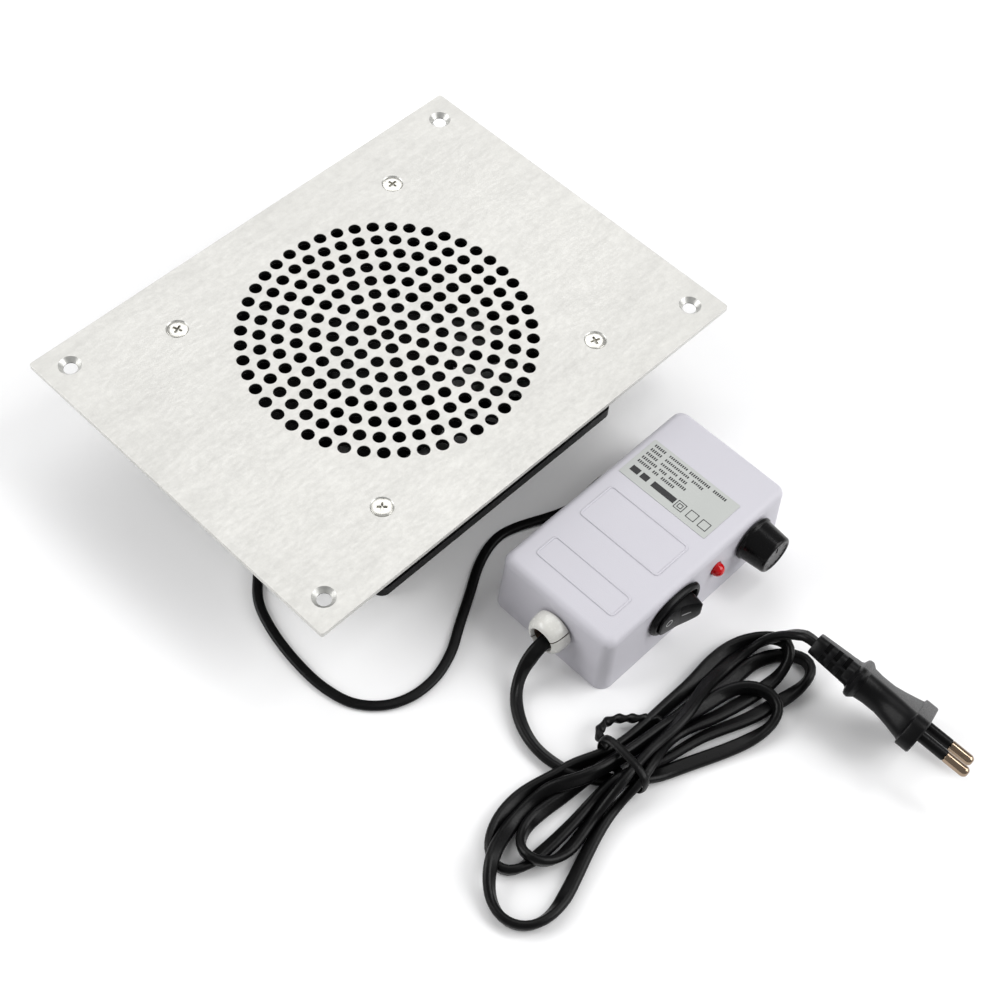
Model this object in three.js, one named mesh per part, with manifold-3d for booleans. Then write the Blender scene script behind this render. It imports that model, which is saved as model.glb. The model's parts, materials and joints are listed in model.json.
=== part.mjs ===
// Nail dust collector: a perforated steel desk plate with an axial fan under it,
// and a small mains control box on a lead, which lies beside the plate.
// Millimetres, +Z up. The origin is on the fan's axis, on the surface that the object stands on.
// +X points from the fan to the control box, and the plate's long side runs along Y.

import * as THREE from 'three';
import { mergeVertices } from 'three/addons/utils/BufferGeometryUtils.js';
import Module from 'manifold-3d';

const wasm = await Module();
wasm.setup();

// ---------------------------------------------------------------- driving dimensions

const GAP = 0.3;                // clearance between pieces that touch

const PLATE_WIDTH = 150;        // along X
const PLATE_LENGTH = 200;       // along Y
const PLATE_THICKNESS = 2;
const PLATE_CORNER = 1;
const DESK_HOLE_X = 65;         // corner holes for the desk screws
const DESK_HOLE_Y = 90;
const DESK_HOLE_RADIUS = 2.5;
const COUNTERSINK_RADIUS = 4.15;
const GRILLE_RINGS = 8;         // ring k has 6k holes on a circle of k pitches
const GRILLE_PITCH = 6.5;
const GRILLE_HOLE_RADIUS = 2.4; // corner radius of a hexagon with the area of a 4.5 mm hole
const GRILLE_HOLE_SIDES = 6;

const FAN_SIZE = 120;
const FAN_DEPTH = 38;
const FAN_BORE_RADIUS = 58;
const FAN_WALL = 1.6;
const FAN_CORNER = 4;
const FLANGE_THICKNESS = 4.5;
const FAN_SCREW_OFFSET = 52.5;  // half of the 105 mm hole square
const FAN_SCREW_RADIUS = 1.9;
const FAN_HOLE_RADIUS = 2.3;
const GASKET_THICKNESS = 2;
const PLATE_TOP = FAN_DEPTH + GASKET_THICKNESS + PLATE_THICKNESS;
const PLATE_BOTTOM = PLATE_TOP - PLATE_THICKNESS;

const HUB_RADIUS = 24;          // impeller hub
const HUB_BOTTOM = 8;
const HUB_TOP = 34;
const HUB_WALL = 1.6;
const BLADE_COUNT = 7;
const BLADE_TIP_RADIUS = 56.6;
const MOTOR_BASE_RADIUS = 23.5;
const MOTOR_BASE_THICKNESS = 2.6;
const STRUT_WIDTH = 4.5;
const STRUT_HEIGHT = 5;
const BEARING_TUBE_OUTER = 6;
const BEARING_TUBE_INNER = 4.6;
const BEARING_TUBE_TOP = 27;
const SHAFT_RADIUS = 2;

const BOX_X = 112.5;            // control box centre
const BOX_Y = 15.7;
const BOX_WIDTH = 52;           // along X, at the base
const BOX_LENGTH = 95;          // along Y, at the base
const BOX_HEIGHT = 28;
const BOX_DRAFT = 1;            // how far each wall leans in, from base to top
const BOX_WALL = 2;
const BOX_CORNER = 4;
const BOX_FILLET = 2.5;
const BASE_THICKNESS = 2.2;
const BOSS_X = 20.4;
const BOSS_Y = 41.9;
const BOSS_RADIUS = 3.2;
const CONTROL_HEIGHT = 17.3;    // axis of switch, lamp and knob on the long side

const SWITCH_Y = -13.5;         // from the box centre
const LAMP_Y = 9.2;
const KNOB_Y = 28.2;
const SWITCH_LENGTH = 24.6;
const SWITCH_HEIGHT = 17.4;
const BEZEL_THICKNESS = 2.3;
const WINDOW_LENGTH = 21;
const WINDOW_HEIGHT = 13;
const ROCKER_LENGTH = 18;
const ROCKER_HEIGHT = 12;
const ROCKER_TILT = 14;         // degrees to each side of the middle
const ROCKER_PIVOT_DEPTH = 1.2; // pivot axis behind the wall's face
const KNOB_LENGTH = 11.5;
const POT_SHAFT_RADIUS = 2.5;

const GLAND_X = 2.5;            // from the box centre
const GLAND_Z = 15.5;
const GLAND_RADIUS = 7.5;
const GLAND_LENGTH = 7.5;
const GROMMET_Y = 16.3;         // fan lead's entry, from the box centre
const GROMMET_Z = 9;

const LEAD_RADIUS = 2.1;        // mains lead: the twin flat flex as one round tube
const FAN_LEAD_RADIUS = 1.3;
const INNER_WIRE_RADIUS = 0.9;
const HANK_TOP = 9.5;
const PLUG_FRONT_X = 225.9;
const PLUG_Y = 27.6;
const PLUG_Z = 15.3;
const PLUG_ROLL = 47;           // degrees from lying flat, upper edge towards -Y
const PLUG_DIP = 7.5;           // degrees, pins down
const PLUG_YAW = 4.3;           // degrees, pins towards +Y
const PIN_OFFSET = 9.3;

// ---------------------------------------------------------------- routes of the leads

const FAN_LEAD_ROUTE = [
  [6, -60.4, 3.2], [9, -66, 2.4], [15, -75, 1.7], [24, -85, 1.5], [32, -91.6, 1.5], [43, -95.6, 1.5],
  [58, -98, 1.5], [72, -98, 1.5], [83, -95, 1.5], [91, -88, 1.5], [95, -79, 1.5], [95.3, -68, 1.5],
  [92, -57.5, 1.5], [86.5, -48, 1.5], [80, -36.5, 1.5], [74, -26, 1.5], [70.8, -17, 1.5],
  [70.3, -10.5, 1.5], [71.6, -5, 1.5], [73.7, 0.4, 1.5], [76.3, 6, 1.5], [79, 12.5, 1.8],
  [80.8, 18.5, 2.9], [81, 25.6, 5.6], [82.6, 31.2, 8.4], [86.2, 32, 9],
];
const MAINS_LEAD_ROUTE = [
  [115, -39.05, 15.5], [115, -43, 14.8], [115.2, -47, 11.8], [116.4, -51.2, 7.6], [119.5, -55.6, 4.4],
  [125.5, -60, 2.9], [133, -62.8, 2.4], [140.5, -63.4, 2.3], [146.2, -62.8, 2.3],
];
const TAIL_ROUTE = [
  [167.6, 18.6, 12.3], [169.8, 20.9, 14.2], [172.6, 22.8, 17.4], [175.6, 23.8, 20.2], [178.4, 24.1, 21.3],
  [181.1, 24.23, 21.2],
];
// Inside the control box, from the box centre.
const LIVE_WIRE_ROUTE = [
  [4.4, -37, 15.5], [6, -33, 17], [9.5, -28, 20], [12.2, -22, 20.6], [12.4, -16, 19],
];
const NEUTRAL_WIRE_ROUTE = [
  [0.6, -37, 15.5], [-3, -33, 14], [-8, -31.5, 12], [-13, -31, 9.2],
];
// Outline of the hank seen from above: a figure of loops drawn in at the tie.
const HANK_OUTLINE = [
  [155.8, -47], [150.6, -57], [144.6, -71], [143.2, -86], [146, -98], [154, -107.5], [164, -114.5],
  [174.5, -117], [183, -111.5], [185.5, -101], [181.5, -85], [176.5, -68], [175.5, -50], [181.5, -33],
  [189.5, -15], [190.5, -1], [188.5, 11], [188.5, 21], [184, 30.5], [174, 32], [163, 27],
  [156.5, 12], [154.5, -12], [155, -30],
];
const TIE_X = 165.3;
const TIE_Y = -48;

// ---------------------------------------------------------------- geometry helpers

const radians = THREE.MathUtils.degToRad;

function toSolid(geometry) {
  const bare = geometry.clone();
  bare.deleteAttribute('normal');
  bare.deleteAttribute('uv');
  const merged = mergeVertices(bare, 1e-4);
  const mesh = new wasm.Mesh({
    numProp: 3,
    vertProperties: new Float32Array(merged.attributes.position.array),
    triVerts: new Uint32Array(merged.index.array),
  });
  return new wasm.Manifold(mesh);
}

function toGeometry(solid) {
  const mesh = solid.getMesh();
  const geometry = new THREE.BufferGeometry();
  geometry.setAttribute('position', new THREE.BufferAttribute(mesh.vertProperties, 3));
  geometry.setIndex(new THREE.BufferAttribute(mesh.triVerts, 1));
  return geometry;
}

function join(...pieces) {
  return toGeometry(pieces.map(toSolid).reduce((sum, next) => sum.add(next)));
}

function cut(piece, ...tools) {
  return toGeometry(tools.map(toSolid).reduce((rest, tool) => rest.subtract(tool), toSolid(piece)));
}

function overlap(a, b) {
  return toGeometry(toSolid(a).intersect(toSolid(b)));
}

// A flat outline pushed up from z0 to z1.
function prism(outline, z0, z1) {
  const isShape = outline instanceof THREE.Shape;
  const shape = isShape ? outline : new THREE.Shape(outline.map(([x, y]) => new THREE.Vector2(x, y)));
  const settings = { depth: z1 - z0, bevelEnabled: false, curveSegments: 6 };
  return new THREE.ExtrudeGeometry(shape, settings).translate(0, 0, z0);
}

function roundedRectangle(width, length, radius) {
  const [w, l] = [width / 2, length / 2];
  const shape = new THREE.Shape();
  shape.moveTo(-w + radius, -l);
  shape.lineTo(w - radius, -l);
  shape.absarc(w - radius, -l + radius, radius, -Math.PI / 2, 0);
  shape.lineTo(w, l - radius);
  shape.absarc(w - radius, l - radius, radius, 0, Math.PI / 2);
  shape.lineTo(-w + radius, l);
  shape.absarc(-w + radius, l - radius, radius, Math.PI / 2, Math.PI);
  shape.lineTo(-w, -l + radius);
  shape.absarc(-w + radius, -l + radius, radius, Math.PI, 1.5 * Math.PI);
  return shape;
}

function block(x0, x1, y0, y1, z0, z1) {
  const geometry = new THREE.BoxGeometry(x1 - x0, y1 - y0, z1 - z0);
  return geometry.translate((x0 + x1) / 2, (y0 + y1) / 2, (z0 + z1) / 2);
}

// A body of revolution about Z, from [radius, z] pairs in either order round the section.
function turned(profile, sides = 24) {
  const points = profile.map(([r, z]) => new THREE.Vector2(r, z));
  if (THREE.ShapeUtils.area(points) < 0) {
    points.reverse();
  }
  return new THREE.LatheGeometry(points, sides).rotateX(Math.PI / 2);
}

function disc(radius, z0, z1, sides = 24) {
  return turned([[0, z0], [radius, z0], [radius, z1], [0, z1]], sides);
}

function ring(inner, outer, z0, z1, sides = 24) {
  return turned([[inner, z0], [outer, z0], [outer, z1], [inner, z1], [inner, z0]], sides);
}

// A closed solid through a stack of rings that have the same number of points.
function stack(rings) {
  const count = rings[0].length;
  const positions = rings.flat().flatMap((p) => [p.x, p.y, p.z]);
  const index = [];
  for (let level = 0; level + 1 < rings.length; level += 1) {
    for (let i = 0; i < count; i += 1) {
      const a = level * count + i;
      const b = level * count + ((i + 1) % count);
      index.push(a, b, b + count, a, b + count, a + count);
    }
  }
  const last = (rings.length - 1) * count;
  for (let i = 1; i + 1 < count; i += 1) {
    index.push(0, i + 1, i);
    index.push(last, last + i, last + i + 1);
  }
  const geometry = new THREE.BufferGeometry();
  geometry.setAttribute('position', new THREE.Float32BufferAttribute(positions, 3));
  geometry.setIndex(index);
  return geometry;
}

function roundedRing(width, length, radius, z, perCorner = 5) {
  const points = [];
  const corners = [[1, -1, -90], [1, 1, 0], [-1, 1, 90], [-1, -1, 180]];
  for (const [sx, sy, start] of corners) {
    for (let i = 0; i < perCorner; i += 1) {
      const angle = radians(start + (90 * i) / (perCorner - 1));
      const x = sx * (width / 2 - radius) + radius * Math.cos(angle);
      const y = sy * (length / 2 - radius) + radius * Math.sin(angle);
      points.push(new THREE.Vector3(x, y, z));
    }
  }
  return points;
}

function tube(route, radius, steps) {
  const curve = new THREE.CatmullRomCurve3(route.map((p) => new THREE.Vector3(...p)));
  const section = new THREE.Shape();
  for (let i = 0; i < 8; i += 1) {
    const angle = radians(22.5 + 45 * i);
    const x = radius * Math.cos(angle);
    const y = radius * Math.sin(angle);
    if (i === 0) {
      section.moveTo(x, y);
    } else {
      section.lineTo(x, y);
    }
  }
  return new THREE.ExtrudeGeometry(section, { steps, extrudePath: curve, bevelEnabled: false });
}

// ---------------------------------------------------------------- materials

function material(color, roughness, metalness) {
  return new THREE.MeshStandardMaterial({ color, roughness, metalness });
}

const STEEL_PLATE = material(0xe8e7e1, 0.38, 0.85);
const STEEL = material(0xb9bbbd, 0.35, 1);
const ZINC = material(0xcfd0cc, 0.4, 0.9);
const COPPER = material(0xb86b3c, 0.4, 1);
const FAN_BLACK = material(0x141415, 0.45, 0);
const FOAM = material(0x1d1d1e, 0.95, 0);
const MAGNET = material(0x2c2a2a, 0.8, 0.1);
const BOX_WHITE = material(0xdcdae0, 0.5, 0);
const GLOSS_BLACK = material(0x101011, 0.3, 0);
const LED_RED = material(0xc3161c, 0.15, 0);
const NYLON_WHITE = material(0xeeeee8, 0.35, 0);
const BOARD_GREEN = material(0x1f5b38, 0.6, 0);
const CORD_BLACK = material(0x19191a, 0.5, 0);
const NICKEL = material(0xc2b3a0, 0.25, 1);
const LABEL_GREY = material(0xd7d9d5, 0.6, 0);
const WIRE_BROWN = material(0x6a3d22, 0.5, 0);
const WIRE_BLUE = material(0x2750a0, 0.5, 0);

const object = new THREE.Group();

function add(parent, name, geometry, look) {
  const mesh = new THREE.Mesh(geometry, look);
  mesh.name = name;
  parent.add(mesh);
  return mesh;
}

function atCorners(x, y) {
  return [[-x, -y], [x, -y], [x, y], [-x, y]];
}

// ---------------------------------------------------------------- face plate

function countersunkHole(x, y, radius) {
  const depth = COUNTERSINK_RADIUS - radius;
  const profile = [
    [0, PLATE_BOTTOM - 1], [radius, PLATE_BOTTOM - 1], [radius, PLATE_TOP - depth],
    [COUNTERSINK_RADIUS + 1, PLATE_TOP + 1], [0, PLATE_TOP + 1],
  ];
  return turned(profile, 12).translate(x, y, 0);
}

function grilleShape() {
  const shape = roundedRectangle(PLATE_WIDTH, PLATE_LENGTH, PLATE_CORNER);
  for (let k = 0; k <= GRILLE_RINGS; k += 1) {
    const holes = Math.max(1, 6 * k);
    for (let i = 0; i < holes; i += 1) {
      const angle = Math.PI / 2 + (2 * Math.PI * i) / holes;
      const hole = new THREE.Path();
      const corners = [];
      for (let side = 0; side < GRILLE_HOLE_SIDES; side += 1) {
        const cornerAngle = angle - (2 * Math.PI * side) / GRILLE_HOLE_SIDES;
        const x = GRILLE_PITCH * k * Math.cos(angle) + GRILLE_HOLE_RADIUS * Math.cos(cornerAngle);
        const y = GRILLE_PITCH * k * Math.sin(angle) + GRILLE_HOLE_RADIUS * Math.sin(cornerAngle);
        corners.push(new THREE.Vector2(x, y));
      }
      hole.setFromPoints(corners);
      shape.holes.push(hole);
    }
  }
  return shape;
}

function facePlate() {
  const fanHoles = atCorners(FAN_SCREW_OFFSET, FAN_SCREW_OFFSET)
    .map(([x, y]) => countersunkHole(x, y, FAN_HOLE_RADIUS));
  const deskHoles = atCorners(DESK_HOLE_X, DESK_HOLE_Y)
    .map(([x, y]) => countersunkHole(x, y, DESK_HOLE_RADIUS));
  return cut(prism(grilleShape(), PLATE_BOTTOM, PLATE_TOP), ...fanHoles, ...deskHoles);
}

function fanScrew() {
  const headTop = PLATE_TOP - 0.3;
  const headRadius = 3.4;
  const tip = FAN_DEPTH - FLANGE_THICKNESS - 4.5;
  const body = turned([
    [0, tip], [FAN_SCREW_RADIUS - 0.4, tip], [FAN_SCREW_RADIUS, tip + 0.5],
    [FAN_SCREW_RADIUS, headTop - 1.9], [headRadius, headTop - 0.2], [headRadius, headTop], [0, headTop],
  ], 12);
  const slot = block(-2, 2, -0.35, 0.35, headTop - 0.9, headTop + 1);
  const crossSlot = block(-0.35, 0.35, -2, 2, headTop - 0.9, headTop + 1);
  return cut(body, join(slot, crossSlot));
}

function hexNut(acrossFlats, bore, z0, z1) {
  const radius = acrossFlats / 2 / Math.cos(Math.PI / 6);
  return cut(disc(radius, z0, z1, 6), disc(bore, z0 - 1, z1 + 1, 10));
}

function addPlate() {
  add(object, 'face_plate', facePlate(), STEEL_PLATE);
  atCorners(FAN_SCREW_OFFSET, FAN_SCREW_OFFSET).forEach(([x, y], i) => {
    const screw = add(object, `fan_screw_${i + 1}`, fanScrew(), ZINC);
    screw.position.set(x, y, 0);
    screw.rotation.z = radians(20 + 25 * i);
    const nutTop = FAN_DEPTH - FLANGE_THICKNESS - 0.1;
    const nutShape = hexNut(7, FAN_SCREW_RADIUS + 0.15, nutTop - 3.2, nutTop);
    add(object, `fan_nut_${i + 1}`, nutShape, ZINC).position.set(x, y, 0);
  });
}

// ---------------------------------------------------------------- fan housing

function fanFrame() {
  const outline = roundedRectangle(FAN_SIZE, FAN_SIZE, FAN_CORNER);
  const flange = prism(outline, 0, FLANGE_THICKNESS);
  const topFlange = prism(outline, FAN_DEPTH - FLANGE_THICKNESS, FAN_DEPTH);
  const duct = disc(FAN_BORE_RADIUS + FAN_WALL, 1, FAN_DEPTH - 1, 36);
  const bore = disc(FAN_BORE_RADIUS, -1, FAN_DEPTH + 1, 36);
  const holes = atCorners(FAN_SCREW_OFFSET, FAN_SCREW_OFFSET)
    .map(([x, y]) => disc(FAN_HOLE_RADIUS, -1, FAN_DEPTH + 1, 8).translate(x, y, 0));
  const leadNotch = block(3.8, 8.2, -FAN_SIZE / 2 - 1, -FAN_BORE_RADIUS + 3, 1.6, 5.2);
  const housing = cut(join(flange, topFlange, duct), bore, ...holes, leadNotch);
  const reach = FAN_BORE_RADIUS + 0.8;
  const struts = [45, 135].map((angle) =>
    block(-reach, reach, -STRUT_WIDTH / 2, STRUT_WIDTH / 2, 0, STRUT_HEIGHT).rotateZ(radians(angle)));
  const rimInner = MOTOR_BASE_RADIUS - 1.4;
  const base = turned([
    [0, 0], [MOTOR_BASE_RADIUS, 0], [MOTOR_BASE_RADIUS, STRUT_HEIGHT], [rimInner, STRUT_HEIGHT],
    [rimInner, MOTOR_BASE_THICKNESS], [BEARING_TUBE_OUTER, MOTOR_BASE_THICKNESS],
    [BEARING_TUBE_OUTER, BEARING_TUBE_TOP], [BEARING_TUBE_INNER, BEARING_TUBE_TOP],
    [BEARING_TUBE_INNER, MOTOR_BASE_THICKNESS], [0, MOTOR_BASE_THICKNESS],
  ], 24);
  const pocket = disc(rimInner, MOTOR_BASE_THICKNESS, STRUT_HEIGHT + 1, 24);
  const clearedStruts = cut(join(...struts), pocket);
  return join(housing, clearedStruts, base);
}

function gasket() {
  const z0 = FAN_DEPTH + GAP / 2;
  const z1 = PLATE_BOTTOM - GAP / 2;
  const sheet = prism(roundedRectangle(FAN_SIZE - 1, FAN_SIZE - 1, FAN_CORNER), z0, z1);
  const bore = disc(FAN_BORE_RADIUS - 0.5, z0 - 1, z1 + 1, 28);
  const holes = atCorners(FAN_SCREW_OFFSET, FAN_SCREW_OFFSET)
    .map(([x, y]) => disc(FAN_HOLE_RADIUS, z0 - 1, z1 + 1, 8).translate(x, y, 0));
  return cut(sheet, bore, ...holes);
}

// ---------------------------------------------------------------- rotor and motor

// One blade: a cambered strip wrapped round the axis, steeper at the hub than at the tip.
function blade() {
  const rootRadius = HUB_RADIUS - 1;
  const levels = 4;
  const chordPoints = 3;
  const thickness = 1.5;
  const rings = [];
  for (let level = 0; level <= levels; level += 1) {
    const share = level / levels;
    const radius = rootRadius + (BLADE_TIP_RADIUS - rootRadius) * share;
    const pitch = radians(52 - 20 * share);
    const chord = 26 + 8 * share;
    const upper = [];
    const lower = [];
    for (let i = 0; i <= chordPoints; i += 1) {
      const along = i / chordPoints - 0.5;
      const camber = 2.6 * (1 - 4 * along * along);
      const half = (thickness / 2) * (1 - 1.5 * along * along);
      upper.push([along * chord, camber + half]);
      lower.push([along * chord, camber - half]);
    }
    const outline = upper.concat(lower.reverse());
    rings.push(outline.map(([u, v]) => {
      const around = u * Math.cos(pitch) - v * Math.sin(pitch);
      const up = u * Math.sin(pitch) + v * Math.cos(pitch);
      const angle = -around / radius + 0.22 * share;
      const z = (HUB_BOTTOM + HUB_TOP) / 2 + up;
      return new THREE.Vector3(radius * Math.cos(angle), radius * Math.sin(angle), z);
    }));
  }
  return stack(rings);
}

function impeller() {
  const inner = HUB_RADIUS - HUB_WALL;
  const hub = turned([
    [0, HUB_TOP], [HUB_RADIUS - 2, HUB_TOP], [HUB_RADIUS, HUB_TOP - 2], [HUB_RADIUS, HUB_BOTTOM],
    [inner, HUB_BOTTOM], [inner, HUB_TOP - 2], [5, HUB_TOP - 2], [5, HUB_TOP - 4.4],
    [SHAFT_RADIUS + 0.15, HUB_TOP - 4.4], [SHAFT_RADIUS + 0.15, HUB_TOP - 1.2], [0, HUB_TOP - 1.2],
  ], 28);
  const one = toSolid(blade()).subtract(toSolid(disc(inner + 0.4, 0, FAN_DEPTH, 28)));
  let solid = toSolid(hub);
  for (let i = 0; i < BLADE_COUNT; i += 1) {
    solid = solid.add(one.rotate([0, 0, (360 * i) / BLADE_COUNT]));
  }
  return toGeometry(solid);
}

function statorCore(z0, z1) {
  const core = [ring(BEARING_TUBE_OUTER + 0.2, 9, z0, z1, 16)];
  for (let i = 0; i < 4; i += 1) {
    const pole = cut(
      join(block(8, 16.5, -2.2, 2.2, z0, z1), block(15, 18, -9, 9, z0, z1)),
      cut(disc(30, z0 - 1, z1 + 1, 28), disc(17.6, z0 - 2, z1 + 2, 28)),
    );
    core.push(pole.rotateZ(radians(45 + 90 * i)));
  }
  return join(...core);
}

function retainingClip() {
  const clip = ring(SHAFT_RADIUS + 0.1, 3.6, 3.4, 3.9, 16);
  return cut(clip, block(0, 6, -1, 1, 3, 5));
}

function addFan() {
  add(object, 'fan_frame', fanFrame(), FAN_BLACK);
  add(object, 'plate_gasket', gasket(), FOAM);

  add(object, 'impeller', impeller(), FAN_BLACK);
  const cupOuter = HUB_RADIUS - HUB_WALL - 0.2;
  const cupTop = HUB_TOP - 2.2;
  add(object, 'rotor_cup', turned([
    [5.4, cupTop], [5.4, cupTop - 1.2], [cupOuter - 1.2, cupTop - 1.2], [cupOuter - 1.2, 9.5],
    [cupOuter, 9.5], [cupOuter, cupTop], [5.4, cupTop],
  ], 28), STEEL);
  const magnetOuter = cupOuter - 1.4;
  add(object, 'rotor_magnet', ring(magnetOuter - 2.2, magnetOuter, 11.5, 28.5, 28), MAGNET);
  add(object, 'rotor_shaft', disc(SHAFT_RADIUS, 3, HUB_TOP - 1.4, 16), STEEL);

  const bearing = (z) => ring(SHAFT_RADIUS + 0.1, BEARING_TUBE_INNER - 0.1, z, z + 4, 16);
  add(object, 'bearing_lower', bearing(4.3), STEEL);
  add(object, 'bearing_upper', bearing(22.4), STEEL);
  add(object, 'preload_spring', turned([
    [3, 19], [4.2, 21.6], [4.2, 22.2], [3, 19.6], [3, 19],
  ], 12), STEEL);
  add(object, 'retaining_clip', retainingClip(), STEEL);

  add(object, 'stator_core', statorCore(14, 24), STEEL);
  for (let i = 0; i < 4; i += 1) {
    const coil = cut(block(9.6, 14.6, -4.6, 4.6, 11.8, 26.2), block(8, 16, -2.5, 2.5, 13.7, 24.3));
    add(object, `stator_coil_${i + 1}`, coil.rotateZ(radians(45 + 90 * i)), COPPER);
  }
  add(object, 'stator_board', ring(BEARING_TUBE_OUTER + 0.3, 17, 6.6, 7.8, 20), BOARD_GREEN);
}

// ---------------------------------------------------------------- control box

// The drafted, filleted block that the shell is made from; a negative grow gives its hollow.
function shellBlock(corner, grow) {
  const width = BOX_WIDTH + 2 * grow;
  const length = BOX_LENGTH + 2 * grow;
  const level = (z, inset) =>
    roundedRing(width - 2 * inset, length - 2 * inset, Math.max(1, corner - inset / 2), z);
  const lean = (z) => (BOX_DRAFT * z) / BOX_HEIGHT;
  const filletStart = BOX_HEIGHT + grow - BOX_FILLET;
  const rings = [level(0, 0), level(filletStart, lean(filletStart))];
  for (const angle of [30, 60, 90]) {
    const inset = lean(filletStart) + BOX_FILLET * (1 - Math.cos(radians(angle)));
    rings.push(level(filletStart + BOX_FILLET * Math.sin(radians(angle)), inset));
  }
  return stack(rings);
}

// Distance of a wall's outer face from the box centre at a height, on the +X side.
function wallFace(z) {
  return BOX_WIDTH / 2 - (BOX_DRAFT * z) / BOX_HEIGHT;
}

// Turns a piece made about +Z, standing on z = 0, so that it points out of the +X wall.
function onLongSide(geometry, y, z) {
  return geometry.rotateY(Math.PI / 2).translate(wallFace(z), y, z);
}

function ovalPoints(length, height, count) {
  const points = [];
  for (let i = 0; i < count; i += 1) {
    const angle = (2 * Math.PI * i) / count;
    const c = Math.cos(angle);
    const s = Math.sin(angle);
    const x = (height / 2) * Math.sign(c) * Math.abs(c) ** 0.85;
    const y = (length / 2) * Math.sign(s) * Math.abs(s) ** 0.85;
    points.push([x, y]);
  }
  return points;
}

function topShell() {
  const outer = shellBlock(BOX_CORNER, 0);
  const inner = shellBlock(BOX_CORNER - 1, -BOX_WALL).translate(0, 0, -0.01);
  const hollow = cut(outer, inner);
  const boss = cut(
    disc(BOSS_RADIUS, BASE_THICKNESS + GAP, BOX_HEIGHT - 1, 12),
    disc(1.2, 0, 16, 8),
  );
  const bosses = atCorners(BOSS_X, BOSS_Y).map(([x, y]) => boss.clone().translate(x, y, 0));
  const switchOutline = ovalPoints(WINDOW_LENGTH + 1.8, WINDOW_HEIGHT + 1.8, 20);
  const switchHole = onLongSide(prism(switchOutline, -5, 5), SWITCH_Y, CONTROL_HEIGHT);
  const lampHole = onLongSide(disc(2.9, -5, 5, 12), LAMP_Y, CONTROL_HEIGHT);
  const knobHole = onLongSide(disc(3.8, -5, 5, 12), KNOB_Y, CONTROL_HEIGHT);
  const glandHole = disc(6, -5, 5, 16).rotateX(Math.PI / 2)
    .translate(GLAND_X, -BOX_LENGTH / 2, GLAND_Z);
  const grommetHole = disc(3.2, -5, 5, 12).rotateY(Math.PI / 2)
    .translate(-BOX_WIDTH / 2, GROMMET_Y, GROMMET_Z);
  return cut(join(hollow, ...bosses), switchHole, lampHole, knobHole, glandHole, grommetHole);
}

function baseCover() {
  const width = BOX_WIDTH - 2 * (BOX_WALL + GAP);
  const length = BOX_LENGTH - 2 * (BOX_WALL + GAP);
  const sheet = prism(roundedRectangle(width, length, BOX_CORNER - 1), 0, BASE_THICKNESS);
  const holes = atCorners(BOSS_X, BOSS_Y).map(([x, y]) =>
    turned([[0, -1], [3, -1], [3, 1.3], [1.7, 1.3], [1.7, 4], [0, 4]], 10).translate(x, y, 0));
  return cut(sheet, ...holes);
}

function baseScrew() {
  const body = turned([[0, 0.2], [2.7, 0.2], [2.7, 1.1], [1.05, 1.1], [1.05, 11], [0, 12]], 10);
  return cut(body, block(-1.6, 1.6, -0.3, 0.3, -1, 0.7));
}

function switchBody() {
  const bezel = prism(ovalPoints(SWITCH_LENGTH, SWITCH_HEIGHT, 20), 0.5, BEZEL_THICKNESS);
  const can = prism(ovalPoints(WINDOW_LENGTH + 1.2, WINDOW_HEIGHT + 1.2, 20), -11, 1);
  const window = prism(ovalPoints(WINDOW_LENGTH, WINDOW_HEIGHT, 20), -9, BEZEL_THICKNESS + 1);
  const pivotHoles = disc(1.5, -WINDOW_HEIGHT / 2 - 0.4, WINDOW_HEIGHT / 2 + 0.4, 8)
    .rotateY(Math.PI / 2).translate(0, 0, -ROCKER_PIVOT_DEPTH);
  const faces = [-6, 0, 6].map((y) => block(-0.4, 0.4, y - 2.4, y + 2.4, -17, -10.5));
  return onLongSide(cut(join(bezel, can, ...faces), window, pivotHoles), SWITCH_Y, CONTROL_HEIGHT);
}

// The rocker in its own frame: pivot axis on Z, face towards +X.
function rocker() {
  const profile = [[6.6, 8.4], [5.7, 4], [5.4, 0], [5.7, -4], [6.6, -8.4]];
  const foot = [[1.8, -8], [-3.4, -4], [-3.4, 4], [1.8, 8]];
  const points = profile.concat(foot);
  const wedge = prism(points.reverse(), -ROCKER_HEIGHT, ROCKER_HEIGHT);
  const oval = prism(ovalPoints(ROCKER_LENGTH, ROCKER_HEIGHT, 20), -12, 12).rotateY(Math.PI / 2);
  const trunnion = disc(1.2, -WINDOW_HEIGHT / 2 - 0.3, WINDOW_HEIGHT / 2 + 0.3, 8);
  return join(overlap(wedge, oval), trunnion);
}

function addSwitch(box) {
  add(box, 'switch_body', switchBody(), GLOSS_BLACK);
  const lever = add(box, 'switch_rocker', rocker(), GLOSS_BLACK);
  lever.position.set(wallFace(CONTROL_HEIGHT) - ROCKER_PIVOT_DEPTH, SWITCH_Y, CONTROL_HEIGHT);
  lever.rotation.z = radians(-ROCKER_TILT);
}

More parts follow.
